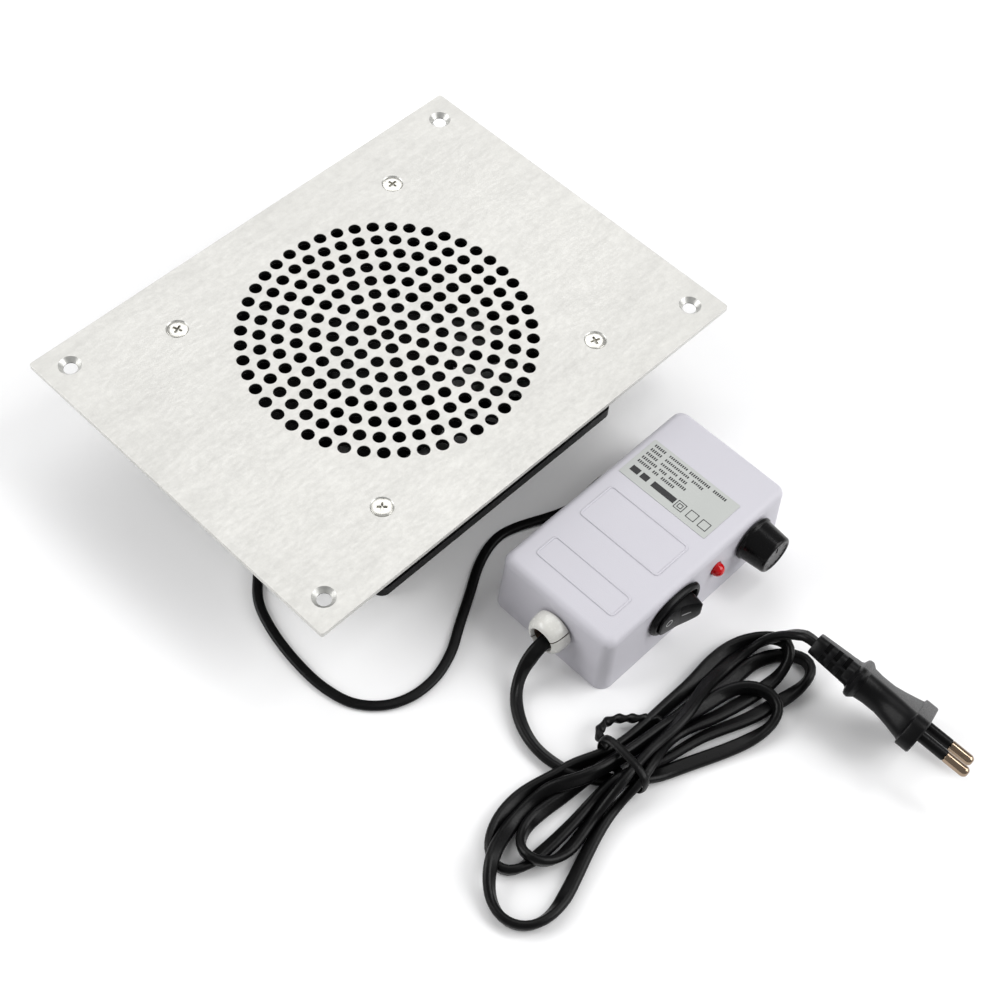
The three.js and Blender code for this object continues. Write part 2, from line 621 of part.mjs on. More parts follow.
function addKnob(box) {
  const knob = turned([
    [0, KNOB_LENGTH], [6.7, KNOB_LENGTH], [7.3, KNOB_LENGTH - 0.7], [8.1, 1.8], [8.7, 1.6], [8.7, 0.5],
    [7.1, 0.5], [7.1, 4.8], [POT_SHAFT_RADIUS + 0.15, 4.8], [POT_SHAFT_RADIUS + 0.15, 9.6], [0, 9.6],
  ], 20);
  const pointer = block(-8, -3.5, -0.5, 0.5, KNOB_LENGTH - 0.5, KNOB_LENGTH + 1);
  add(box, 'speed_knob', onLongSide(cut(knob, pointer), KNOB_Y, CONTROL_HEIGHT), GLOSS_BLACK);
  const shaft = disc(POT_SHAFT_RADIUS, -7.5, 9.4, 12);
  add(box, 'potentiometer_shaft', onLongSide(shaft, KNOB_Y, CONTROL_HEIGHT), STEEL);
  const body = turned([
    [POT_SHAFT_RADIUS + 0.2, 4.4], [3.5, 4.4], [3.5, -2.6], [7.5, -2.6], [7.5, -9.5], [0, -9.5], [0, -7.8],
    [POT_SHAFT_RADIUS + 0.2, -7.8], [POT_SHAFT_RADIUS + 0.2, 4.4],
  ], 18);
  add(box, 'potentiometer_body', onLongSide(body, KNOB_Y, CONTROL_HEIGHT), STEEL);
  add(box, 'potentiometer_nut', onLongSide(hexNut(11, 3.85, 0.3, 2.4), KNOB_Y, CONTROL_HEIGHT), ZINC);
}

function addLamp(box) {
  const lamp = turned([
    [0, 3.3], [1.1, 3], [2, 2.3], [2.5, 1.2], [2.6, 0], [2.6, -2.6], [3.2, -2.6], [3.2, -3.6], [0, -3.6],
  ], 14);
  add(box, 'indicator_led', onLongSide(lamp, LAMP_Y, CONTROL_HEIGHT), LED_RED);
}

// The strain relief that grips the mains lead: two halves about a flat slot.
function glandHalf(side) {
  const profile = [
    [0, GLAND_LENGTH], [5.2, GLAND_LENGTH], [6.1, GLAND_LENGTH - 0.9], [6.7, 3.4], [7.4, 3],
    [GLAND_RADIUS, 0.3], [5.6, 0.3], [5.6, -2.4], [6.6, -4], [5, -9], [0, -9],
  ];
  const whole = turned(profile, 18);
  const slot = prism(roundedRectangle(6.2, 4, 1.6), -10, GLAND_LENGTH + 1);
  const otherHalf = block(-20, 20, side > 0 ? -20 : -0.1, side > 0 ? 0.1 : 20, -20, 20);
  const half = cut(whole, slot, otherHalf);
  const face = -BOX_LENGTH / 2 + (BOX_DRAFT * GLAND_Z) / BOX_HEIGHT;
  return half.rotateX(Math.PI / 2).translate(GLAND_X, face, GLAND_Z);
}

function grommet() {
  const profile = [
    [1.7, 1.6], [3.6, 1.6], [4.2, 0.9], [4.2, 0.3], [2.9, 0.3], [2.9, -2.4], [4, -2.4],
    [4, -3.6], [1.7, -3.6], [1.7, 1.6],
  ];
  return turned(profile, 14).rotateY(-Math.PI / 2)
    .translate(-wallFace(GROMMET_Z), GROMMET_Y, GROMMET_Z);
}

function addElectronics(box) {
  const top = 7.6;
  add(box, 'control_board', block(-19, 12, -34, 36, 6, top), BOARD_GREEN);
  const transformerCore = cut(
    block(-17, 1, 2, 20, top + 0.3, 21),
    block(-15, -1, -1, 6.5, top + 3, 18),
    block(-15, -1, 15.5, 23, top + 3, 18),
  );
  add(box, 'transformer', transformerCore, STEEL);
  const mainsCapacitor = disc(5, top + 0.3, 20, 16).translate(-8, -8, 0);
  add(box, 'mains_capacitor', mainsCapacitor, WIRE_BLUE);
  const outputCapacitor = disc(4, top + 0.3, 18, 16).translate(-10, 29, 0);
  add(box, 'output_capacitor', outputCapacitor, MAGNET);
  add(box, 'regulator_heatsink', cut(
    block(-17, -3, -27, -18, top + 0.3, 21),
    block(-15.5, -11, -25.5, -17, top - 1, 22),
    block(-9, -4.5, -25.5, -17, top - 1, 22),
  ), ZINC);
  add(box, 'fuse', disc(2, -8, 8, 12).rotateX(Math.PI / 2).translate(6, -24, top + 2.6), LABEL_GREY);
}

function addBox() {
  const box = new THREE.Group();
  box.position.set(BOX_X, BOX_Y, 0);
  object.add(box);
  add(box, 'box_top_shell', topShell(), BOX_WHITE);
  add(box, 'box_base_cover', baseCover(), BOX_WHITE);
  atCorners(BOSS_X, BOSS_Y).forEach(([x, y], i) => {
    add(box, `box_screw_${i + 1}`, baseScrew(), ZINC).position.set(x, y, 0);
  });
  const label = prism(roundedRectangle(39.5, 19.6, 0.6), BOX_HEIGHT + 0.02, BOX_HEIGHT + 0.2);
  add(box, 'rating_label', label.translate(-1.6, 18.6, 0), LABEL_GREY);
  addSwitch(box);
  addKnob(box);
  addLamp(box);
  addElectronics(box);
  add(box, 'cord_clamp_upper', glandHalf(1), NYLON_WHITE);
  add(box, 'cord_clamp_lower', glandHalf(-1), NYLON_WHITE);
  add(box, 'fan_lead_grommet', grommet(), GLOSS_BLACK);
  add(box, 'mains_wire_live', tube(LIVE_WIRE_ROUTE, INNER_WIRE_RADIUS, 7), WIRE_BROWN);
  add(box, 'mains_wire_neutral', tube(NEUTRAL_WIRE_ROUTE, INNER_WIRE_RADIUS, 7), WIRE_BLUE);
}

// ---------------------------------------------------------------- leads, hank, tie and plug

function hank() {
  const corners = HANK_OUTLINE.map(([x, y]) => new THREE.Vector3(x, y, 0));
  const curve = new THREE.CatmullRomCurve3(corners, true);
  const outline = curve.getPoints(36).slice(0, -1).map((p) => [p.x, p.y]);
  const underTie = block(TIE_X - 20, TIE_X + 20, TIE_Y - 2, TIE_Y + 2, -1, 1.6);
  return cut(prism(outline, 0, HANK_TOP), underTie);
}

function tie() {
  const outer = block(TIE_X - 12.3, TIE_X + 12.3, TIE_Y - 1.4, TIE_Y + 1.4, 0.1, HANK_TOP + 1.5);
  const inner = block(TIE_X - 11.5, TIE_X + 11.5, TIE_Y - 3, TIE_Y + 3, 1.2, HANK_TOP + GAP);
  return cut(outer, inner);
}

// The plug in its own frame: pins along +X, front face at x = 0, pins apart along Y.
function plugBody() {
  const sections = [ // position along X, width, thickness, corner radius
    [-45, 8.6, 7.4, 2], [-28.4, 12, 8.6, 2], [-27.6, 23, 11.6, 3], [-25.2, 24, 11.6, 3],
    [-24.4, 19.5, 10.2, 3], [-17, 17, 9.6, 4], [-8, 27, 10.8, 4], [-5.2, 30.5, 11.2, 4],
    [-5, 35.2, 12.6, 5], [0, 35.2, 12.6, 5],
  ];
  const rings = sections.map(([x, width, thickness, radius]) =>
    roundedRing(thickness, width, Math.min(radius, thickness / 2 - 0.2), x, 4));
  return stack(rings).rotateY(Math.PI / 2);
}

function addPlug() {
  const plug = new THREE.Group();
  plug.position.set(PLUG_FRONT_X, PLUG_Y, PLUG_Z);
  plug.rotation.set(radians(-PLUG_ROLL), radians(PLUG_DIP), radians(PLUG_YAW), 'ZYX');
  object.add(plug);
  const sockets = [-1, 1].map((side) => disc(1.9, -8, 1, 12).rotateY(Math.PI / 2)
    .translate(0, side * PIN_OFFSET, 0));
  add(plug, 'plug_body', cut(plugBody(), ...sockets), GLOSS_BLACK);
  [-1, 1].forEach((side, i) => {
    const y = side * PIN_OFFSET;
    const pin = turned([
      [0, -7.6], [1.5, -7.6], [1.5, 10], [2, 10.2], [2, 18], [1.4, 19], [0, 19],
    ], 12);
    add(plug, `plug_pin_${i + 1}`, pin.rotateY(Math.PI / 2).translate(0, y, 0), NICKEL);
    const sleeve = ring(1.65, 2, 0.3, 9.9, 12);
    add(plug, `pin_sleeve_${i + 1}`, sleeve.rotateY(Math.PI / 2).translate(0, y, 0), GLOSS_BLACK);
  });
}

function addLeads() {
  add(object, 'fan_lead', tube(FAN_LEAD_ROUTE, FAN_LEAD_RADIUS, 46), CORD_BLACK);
  add(object, 'mains_lead', tube(MAINS_LEAD_ROUTE, LEAD_RADIUS, 12), CORD_BLACK);
  add(object, 'mains_hank', hank(), CORD_BLACK);
  add(object, 'mains_lead_end', tube(TAIL_ROUTE, LEAD_RADIUS, 4), CORD_BLACK);
  add(object, 'bundle_tie', tie(), CORD_BLACK);
}

addPlate();
addFan();
addBox();
addLeads();
addPlug();

export default object;
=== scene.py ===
import json
import math

import bpy
import numpy as np
from mathutils import Matrix, Vector


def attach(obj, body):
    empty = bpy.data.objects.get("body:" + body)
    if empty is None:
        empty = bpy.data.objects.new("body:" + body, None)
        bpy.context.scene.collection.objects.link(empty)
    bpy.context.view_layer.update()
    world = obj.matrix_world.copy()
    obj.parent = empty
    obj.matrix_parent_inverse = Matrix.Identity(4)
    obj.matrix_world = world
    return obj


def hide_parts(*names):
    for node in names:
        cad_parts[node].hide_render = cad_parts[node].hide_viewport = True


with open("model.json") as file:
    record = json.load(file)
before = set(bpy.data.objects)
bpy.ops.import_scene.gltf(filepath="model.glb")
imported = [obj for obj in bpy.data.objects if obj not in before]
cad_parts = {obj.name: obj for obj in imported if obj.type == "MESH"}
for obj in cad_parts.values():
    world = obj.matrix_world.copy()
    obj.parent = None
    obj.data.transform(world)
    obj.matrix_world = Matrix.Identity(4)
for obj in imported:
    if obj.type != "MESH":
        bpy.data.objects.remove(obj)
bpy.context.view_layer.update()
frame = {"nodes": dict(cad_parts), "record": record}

MM = 0.001


def linked(name, data):
    """A new object in the scene."""
    thing = bpy.data.objects.new(name, data)
    bpy.context.collection.objects.link(thing)
    return thing


# ---------------- camera

# The camera stands DISTANCE back from the origin, SIDESTEP to its own right and DROP below, in
# millimetres, so that the origin lies left of and above the picture's middle. Angles are in degrees.
AZIMUTH = 39.8
ELEVATION = 55.32
ROLL = 5.55
DISTANCE = 668.95
SIDESTEP = 42.28
DROP = 35.09
LENS = 64.21
SENSOR = 36


def view_axes(azimuth, elevation, roll):
    """Right, up and back of a camera that looks at the row frame from that side."""
    back = np.array([
        math.sin(azimuth) * math.cos(elevation),
        -math.cos(azimuth) * math.cos(elevation),
        math.sin(elevation),
    ])
    level = np.array([math.cos(azimuth), math.sin(azimuth), 0.0])
    upright = np.cross(back, level)
    right = level * math.cos(roll) + upright * math.sin(roll)
    up = upright * math.cos(roll) - level * math.sin(roll)
    return right, up, back


RIGHT, UP, BACK = view_axes(math.radians(AZIMUTH), math.radians(ELEVATION), math.radians(ROLL))


def place_camera():
    data = bpy.data.cameras.new("camera")
    data.sensor_width = SENSOR
    data.lens = LENS
    data.clip_start = 0.02
    data.clip_end = 20
    camera = linked("camera", data)
    spot = (BACK * DISTANCE + RIGHT * SIDESTEP - UP * DROP) * MM
    rows = np.column_stack([RIGHT, UP, BACK, spot]).tolist()
    camera.matrix_world = Matrix([*rows, [0, 0, 0, 1]])
    bpy.context.scene.camera = camera


place_camera()


# ---------------- materials

def fill(node, values):
    for socket, value in values.items():
        node.inputs[socket].default_value = value


def noise(look, vector, scale, detail):
    """A noise texture that reads the given vector output."""
    node = look.node_tree.nodes.new("ShaderNodeTexNoise")
    fill(node, {"Scale": scale, "Detail": detail})
    look.node_tree.links.new(vector, node.inputs["Vector"])
    return node


def stretched(look, vector, scale, turn=0.0):
    """The vector output scaled along its axes, then turned about Z by some degrees."""
    node = look.node_tree.nodes.new("ShaderNodeMapping")
    fill(node, {"Scale": scale, "Rotation": (0, 0, math.radians(turn))})
    look.node_tree.links.new(vector, node.inputs["Vector"])
    return node.outputs["Vector"]


def ramp(look, factor, *stops):
    """A colour ramp with two stops, each a position and a colour."""
    node = look.node_tree.nodes.new("ShaderNodeValToRGB")
    for element, (position, color) in zip(node.color_ramp.elements, stops):
        element.position = position
        element.color = (*color, 1)
    look.node_tree.links.new(factor, node.inputs["Fac"])
    return node.outputs["Color"]


LOOKS = {}


def surface(name, color, roughness, metallic=0.0, tint=0.06, tint_scale=60.0, grain=0.1,
            grain_scale=900.0, spread=0.06, stretch=(1, 1, 1), coat=0.0, subsurface=0.0, shine=0.5):
    """A procedural finish: blotches in the colour, a varying roughness and a fine grain.

    tint and spread say how far the colour and the roughness vary either way, and grain how strong
    the bump is. The two scales are those of the noises."""
    look = bpy.data.materials.new(name)
    look.use_nodes = True
    nodes = look.node_tree.nodes
    links = look.node_tree.links
    shader = nodes["Principled BSDF"]
    fill(shader, {
        "Metallic": metallic, "Specular IOR Level": shine, "Coat Weight": coat, "Coat Roughness": 0.12,
        "Subsurface Weight": subsurface, "Subsurface Radius": (0.002, 0.002, 0.002),
    })
    place = nodes.new("ShaderNodeTexCoord").outputs["Object"]

    blotches = noise(look, place, tint_scale, 6)
    darker = [c * (1 - tint) for c in color]
    lighter = [min(1.0, c * (1 + tint)) for c in color]
    tone = ramp(look, blotches.outputs["Fac"], (0.3, darker), (0.7, lighter))
    links.new(tone, shader.inputs["Base Color"])

    fine = noise(look, stretched(look, place, stretch), grain_scale, 4)
    gloss = nodes.new("ShaderNodeMapRange")
    fill(gloss, {
        "From Min": 0.3, "From Max": 0.7,
        "To Min": max(0.02, roughness - spread), "To Max": min(1.0, roughness + spread),
    })
    links.new(fine.outputs["Fac"], gloss.inputs["Value"])
    links.new(gloss.outputs["Result"], shader.inputs["Roughness"])
    bump = nodes.new("ShaderNodeBump")
    fill(bump, {"Strength": grain, "Distance": 0.0002})
    links.new(fine.outputs["Fac"], bump.inputs["Height"])
    links.new(bump.outputs["Normal"], shader.inputs["Normal"])
    LOOKS[name] = look
    return look


def brushed_plate():
    """Stainless sheet: fine scratches along Y, a fine speckle and a soft mottle."""
    look = surface("plate_steel", (0.6, 0.594, 0.568), 0.43, metallic=0.36, tint=0.04, tint_scale=14,
                   spread=0.09, stretch=(1, 0.4, 1))
    nodes = look.node_tree.nodes
    links = look.node_tree.links
    shader = nodes["Principled BSDF"]
    place = nodes["Texture Coordinate"].outputs["Object"]
    mottle = shader.inputs["Base Color"].links[0].from_socket
    streaks = noise(look, stretched(look, place, (1, 0.22, 1), 3), 300, 5)
    speckle = noise(look, place, 1400, 3)
    blend = nodes.new("ShaderNodeMix")
    blend.data_type = "FLOAT"
    blend.inputs["Factor"].default_value = 0.35
    links.new(streaks.outputs["Fac"], blend.inputs["A"])
    links.new(speckle.outputs["Fac"], blend.inputs["B"])
    shade = ramp(look, blend.outputs["Result"], (0.33, (0.9, 0.9, 0.9)), (0.6, (1, 1, 1)))
    product = nodes.new("ShaderNodeMix")
    product.data_type = "RGBA"
    product.blend_type = "MULTIPLY"
    product.inputs["Factor"].default_value = 1.0
    links.new(mottle, product.inputs["A"])
    links.new(shade, product.inputs["B"])
    links.new(product.outputs["Result"], shader.inputs["Base Color"])


brushed_plate()
# Near-black painted shade for the plate's hole walls and the foot of its outer edge.
surface("painted_shade_walls", (0.012, 0.012, 0.012), 0.5, metallic=0.2, tint=0.3, shine=0.2)
surface("countersink", (0.5, 0.5, 0.48), 0.36, metallic=0.55, tint=0.15, tint_scale=500)
surface("zinc", (0.62, 0.61, 0.57), 0.26, metallic=1.0, tint=0.08, grain=0.15)
surface("fan_plastic", (0.004, 0.004, 0.0044), 0.42, tint=0.2, grain=0.3, grain_scale=2500, shine=0.15)
surface("foam", (0.008, 0.008, 0.0085), 0.95, tint=0.3, grain=1.0, grain_scale=3000, shine=0.2)
surface("steel", (0.56, 0.56, 0.57), 0.3, metallic=1.0, stretch=(1, 1, 12))
surface("magnet", (0.05, 0.045, 0.045), 0.7, tint=0.15, grain=0.4)
surface("copper", (0.62, 0.25, 0.1), 0.32, metallic=1.0, tint=0.12, grain=0.8, grain_scale=1800,
        stretch=(1, 1, 0.1))
surface("circuit_board", (0.02, 0.16, 0.07), 0.45, tint=0.25, tint_scale=300)
surface("box_plastic", (0.53, 0.52, 0.565), 0.46, tint=0.015, tint_scale=25, grain=0.22, grain_scale=2600,
        spread=0.05)
surface("black_plastic", (0.0028, 0.0028, 0.0031), 0.33, tint=0.2, grain=0.12, grain_scale=2200,
        spread=0.07, shine=0.15)
surface("knob_plastic", (0.0028, 0.0028, 0.0031), 0.24, tint=0.2, grain=0.06, grain_scale=1800,
        spread=0.05, shine=0.18)
surface("plug_plastic", (0.003, 0.003, 0.0033), 0.36, tint=0.2, grain=0.25, grain_scale=2600, spread=0.08,
        shine=0.14)
surface("led_red", (0.5, 0.001, 0.004), 0.14, tint=0.1, grain=0.02, coat=0.3, shine=0.3)
surface("white_nylon", (0.66, 0.655, 0.62), 0.24, tint=0.02, grain=0.05, coat=0.3, subsurface=0.1)
surface("label", (0.44, 0.455, 0.44), 0.42, tint=0.02, grain=0.08, grain_scale=1500)
# Dark brown painted shade for the inside of the white gland's mouth.
surface("painted_mouth_shade", (0.075, 0.05, 0.035), 0.5, tint=0.3, shine=0.2)
surface("print_black", (0.01, 0.01, 0.011), 0.5, tint=0.2, grain=0.05)
surface("print_white", (0.4, 0.4, 0.4), 0.5, tint=0.1, grain=0.05)
surface("capacitor_blue", (0.02, 0.07, 0.32), 0.3, tint=0.1, grain=0.05)
surface("heatsink", (0.66, 0.66, 0.67), 0.4, metallic=1.0, tint=0.05, stretch=(1, 1, 0.05))
surface("wire_brown", (0.13, 0.045, 0.02), 0.4, tint=0.1)
surface("wire_blue", (0.015, 0.06, 0.33), 0.4, tint=0.1)
surface("cord_black", (0.0026, 0.0026, 0.0028), 0.34, tint=0.25, tint_scale=220, grain=0.2,
        grain_scale=1600, spread=0.07, shine=0.16)
surface("nickel", (0.33, 0.25, 0.18), 0.16, metallic=1.0, tint=0.05, grain=0.08, stretch=(0.1, 1, 1))
surface("floor", (0.94, 0.94, 0.945), 0.9, tint=0.004, tint_scale=4, grain=0.02, grain_scale=300,
        spread=0.02)


# ---------------- mesh helpers (millimetres)

# A part is a pair of points and faces. A place is a 4 x 4 matrix whose shift is in millimetres.

def make(name, part, look=None, body="housing", stands_for=(), sharp=32, place=None):
    """A piece from a part, finished where it has a look."""
    points = np.asarray(part[0], float)
    if place is not None:
        matrix = np.array(place)
        points = points @ matrix[:3, :3].T + matrix[:3, 3]
    mesh = bpy.data.meshes.new(name)
    mesh.from_pydata((points * MM).tolist(), [], [list(f) for f in part[1]])
    mesh.validate()
    piece = linked(name, mesh)
    if look is not None:
        finish_piece(piece, look, body, stands_for, sharp)
    return piece


def finish_piece(piece, look, body="housing", stands_for=(), sharp=32):
    piece.data.materials.clear()
    piece.data.materials.append(LOOKS[look])
    piece.data.shade_smooth()
    piece.data.set_sharp_from_angle(angle=math.radians(sharp))
    if stands_for:
        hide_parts(*stands_for)
    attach(piece, body)
    return piece


def put(piece, place):
    """Moves a piece's mesh to its place."""
    metres = place.copy()
    metres.translation = [step * MM for step in place.translation]
    piece.data.transform(metres)


def rounded(profile, radius, steps=3):
    """The polyline with its inner corners turned into short curves."""
    points = [np.asarray(p, float) for p in profile]
    out = [points[0]]
    for before, corner, after in zip(points, points[1:], points[2:]):
        a = before - corner
        b = after - corner
        reach = min(radius, np.linalg.norm(a) * 0.45, np.linalg.norm(b) * 0.45)
        start = corner + a / np.linalg.norm(a) * reach
        end = corner + b / np.linalg.norm(b) * reach
        for t in np.linspace(0, 1, steps + 1):
            out.append((1 - t) ** 2 * start + 2 * t * (1 - t) * corner + t * t * end)
    out.append(points[-1])
    return out


def loft(rings, closed=False):
    """Faces between rings that all have the same number of points, with end caps unless it's closed."""
    count = len(rings[0])
    points = np.concatenate([np.asarray(r, float) for r in rings])
    faces = []
    levels = len(rings)
    for level in range(levels if closed else levels - 1):
        low = level * count
        high = ((level + 1) % levels) * count
        for i in range(count):
            j = (i + 1) % count
            faces.append((low + i, low + j, high + j, high + i))
    if not closed:
        faces.append(tuple(range(count))[::-1])
        faces.append(tuple(range((levels - 1) * count, levels * count)))
    return points, faces


def revolve(profile, sides=64, closed=False):
    """A body of revolution about Z from (radius, z) pairs, from the bottom's axis to the top's.

    Closed, it is a ring whose section doesn't reach the axis, anticlockwise in (radius, z)."""
    angles = np.linspace(0, 2 * np.pi, sides, endpoint=False)
    rings = []
    for radius, z in profile:
        radius = max(radius, 1e-3)
        rings.append(np.stack([radius * np.cos(angles), radius * np.sin(angles), np.full(sides, z)], 1))
    return loft(rings, closed)


def rod(radius, z0, z1, sides):
    return revolve([(0, z0), (radius, z0), (radius, z1), (0, z1)], sides)


def rounded_rectangle(width, length, radius, per_corner=8):
    points = []
    for sx, sy, start in ((1, -1, -90), (1, 1, 0), (-1, 1, 90), (-1, -1, 180)):
        for angle in np.radians(start + np.linspace(0, 90, per_corner)):
            points.append((sx * (width / 2 - radius) + radius * math.cos(angle),
                           sy * (length / 2 - radius) + radius * math.sin(angle)))
    return np.array(points)


def ellipse(half_wide, half_thick, count=12):
    angles = np.linspace(0, 2 * np.pi, count, endpoint=False)
    return np.column_stack([half_wide * np.cos(angles), half_thick * np.sin(angles)])


def fuller(wave, power):
    """A sine or cosine pushed outwards, which squares a round outline a little."""
    return np.sign(wave) * np.abs(wave) ** power


def at_height(outline, z):
    return np.column_stack([outline, np.full(len(outline), z)])


def prism(outline, z0, z1):
    return loft([at_height(outline, z0), at_height(outline, z1)])


def block(x0, x1, y0, y1, z0, z1):
    outline = np.array([(x0, y0), (x1, y0), (x1, y1), (x0, y1)], float)
    return prism(outline, z0, z1)


def merged(*parts):
    """Several parts as one."""
    points = []
    faces = []
    for part_points, part_faces in parts:
        shift = sum(len(p) for p in points)
        points.append(np.asarray(part_points, float))
        faces.extend(tuple(i + shift for i in face) for face in part_faces)
    return np.concatenate(points), faces


def moved(part, x=0, y=0, z=0):
    points, faces = part
    return np.asarray(points, float) + (x, y, z), faces


def turned_by(part, axis, degrees):
    points, faces = part
    matrix = np.array(Matrix.Rotation(math.radians(degrees), 3, axis))
    return np.asarray(points, float) @ matrix.T, faces


def boolean(piece, part, operation="DIFFERENCE"):
    """Cuts a part out of a piece, or joins or intersects them."""
    tool = make("tool", part)
    modifier = piece.modifiers.new("boolean", "BOOLEAN")
    modifier.operation = operation
    modifier.object = tool
    modifier.solver = "EXACT"
    apply_modifiers(piece)
    bpy.data.objects.remove(tool, do_unlink=True)


def evaluated_mesh(piece):
    graph = bpy.context.evaluated_depsgraph_get()
    return bpy.data.meshes.new_from_object(piece.evaluated_get(graph))


def apply_modifiers(piece):
    mesh = evaluated_mesh(piece)
    piece.modifiers.clear()
    piece.data = mesh


def bevel(piece, width, segments=2, angle=40):
    modifier = piece.modifiers.new("bevel", "BEVEL")
    modifier.width = width * MM
    modifier.segments = segments
    modifier.limit_method = "ANGLE"
    modifier.angle_limit = math.radians(angle)
    modifier.use_clamp_overlap = True
    apply_modifiers(piece)


# ---------------- lines for the leads

def spline(points, spacing):
    """A centripetal Catmull-Rom line through the points, at an even spacing."""
    points = np.asarray(points, float)
    first = points[0] * 2 - points[1]
    last = points[-1] * 2 - points[-2]
    knots = np.vstack([first, points, last])
    dense = []
    for p0, p1, p2, p3 in zip(knots, knots[1:], knots[2:], knots[3:]):
        t0 = 0.0
        t1 = t0 + max(np.linalg.norm(p1 - p0), 1e-6) ** 0.5
        t2 = t1 + max(np.linalg.norm(p2 - p1), 1e-6) ** 0.5
        t3 = t2 + max(np.linalg.norm(p3 - p2), 1e-6) ** 0.5
        for t in np.linspace(t1, t2, 13)[:-1]:
            a1 = (t1 - t) / (t1 - t0) * p0 + (t - t0) / (t1 - t0) * p1
            a2 = (t2 - t) / (t2 - t1) * p1 + (t - t1) / (t2 - t1) * p2
            a3 = (t3 - t) / (t3 - t2) * p2 + (t - t2) / (t3 - t2) * p3
            b1 = (t2 - t) / (t2 - t0) * a1 + (t - t0) / (t2 - t0) * a2
            b2 = (t3 - t) / (t3 - t1) * a2 + (t - t1) / (t3 - t1) * a3
            dense.append((t2 - t) / (t2 - t1) * b1 + (t - t1) / (t2 - t1) * b2)
    dense.append(points[-1])
    return even(np.array(dense), spacing)


def even(line, spacing):
    """The line again, with its points evenly spaced."""
    steps = np.linalg.norm(np.diff(line, axis=0), axis=1)
    reach = np.concatenate([[0], np.cumsum(steps)])
    count = int(round(reach[-1] / spacing)) + 1
    where = np.linspace(0, reach[-1], count)
    return np.column_stack([np.interp(where, reach, line[:, k]) for k in range(3)])


def smoothed(values, width):
    """A weighted running mean along the first axis, with the ends held."""
    kernel = np.hanning(width + 2)[1:-1]
    kernel /= kernel.sum()
    padded = np.concatenate([np.repeat(values[:1], width // 2, 0), values,
                             np.repeat(values[-1:], width // 2, 0)])
    if values.ndim == 1:
        return np.convolve(padded, kernel, "valid")[:len(values)]
    return np.column_stack([np.convolve(padded[:, k], kernel, "valid")[:len(values)]
                            for k in range(values.shape[1])])


def unit(ways):
    return ways / np.maximum(np.linalg.norm(ways, axis=1, keepdims=True), 1e-6)


def tangents(line):
    return unit(np.gradient(line, axis=0))


def squared(wide, way):
    """The wide directions turned square to the line's way."""
    return unit(wide - (wide * way).sum(1)[:, None] * way)


def swept(line, wide, section):
    """Rings of a section along a line, from the section's (wide, thin) offsets."""
    thin = np.cross(tangents(line), wide)
    return np.array([p + section[:, :1] * w + section[:, 1:] * t for p, w, t in zip(line, wide, thin)])


# ---------------- how the flex lies

MAINS_WIDE = 2.6
MAINS_THICK = 1.55
STEP = 2.0
TIE_Y = -48.7
TIE_THICK = 1.4
# The hank lies past this x, and the lead's first stretch before it.
HANK_X = 140


def flat_axis(line, spacing, flat_bend=0.035, bundled=None):
    """The direction of a flat flex's wide side: level where it runs straight, upright in a bend.

    Where the lead bends by `flat_bend`, in radians per millimetre, it stands half upright.
    `bundled` is how far each point stands on edge among the strands beside it, from 0 to 1."""
    on_edge = math.radians(86)
    averaged_over = 14
    way = tangents(line)
    side = unit(np.cross(way, (0, 0, 1.0)))
    window = max(3, int(averaged_over / spacing) | 1)
    level = smoothed(way[:, :2], window)
    heading = np.unwrap(np.arctan2(level[:, 1], level[:, 0]))
    bend = np.abs(np.gradient(heading) / spacing)
    share = smoothed(bend ** 2 / (bend ** 2 + flat_bend ** 2), window)
    if bundled is not None:
        share = np.maximum(share, bundled)
    angle = share * on_edge
    upright = np.cross(side, way)
    return side * np.cos(angle)[:, None] + upright * np.sin(angle)[:, None]


def in_bundle(line, spacing):
    """How far the mains lead stands on edge near the tie, once it is past its first stretch."""
    most = 0.8
    reach = 42
    first_stretch = 130
    ease = 30
    along = np.arange(len(line)) * spacing
    near = np.exp(-((line[:, 1] - TIE_Y) / reach) ** 2) * (line[:, 0] > HANK_X)
    return most * near * np.clip((along - first_stretch) / ease, 0, 1)


def near_pairs(place, wide, thin, half_wide, half_thick, apart, margin=0.3, most=0.8):
    """Near points on different strands, the way from one to the other, and how deep they press."""
    gap = place[:, None, :] - place[None, :, :]
    distance = np.linalg.norm(gap, axis=2) + 1e-9
    first, second = np.nonzero(apart & (distance < 2 * half_wide + margin))
    keep = first < second
    first, second = first[keep], second[keep]
    way = gap[first, second] / distance[first, second][:, None]
    reach = sum(
        np.hypot(half_wide * (way * wide[k]).sum(1), half_thick * (way * thin[k]).sum(1))
        for k in (first, second))
    return first, second, way, np.clip(reach - distance[first, second], 0, most)


def stiffened(place, weight, rounds=6, share=0.38):
    """Spreads a line's bends out along it, as a stiff flex does."""
    for _ in range(rounds):
        middle = place.copy()
        middle[1:-1] = (place[:-2] + place[2:]) / 2
        offset = middle - place
        stiff = np.zeros_like(place)
        stiff[1:-1] = offset[1:-1] - (offset[:-2] + offset[2:]) / 2
        place = place + stiff * share * weight[:, None]
    return place


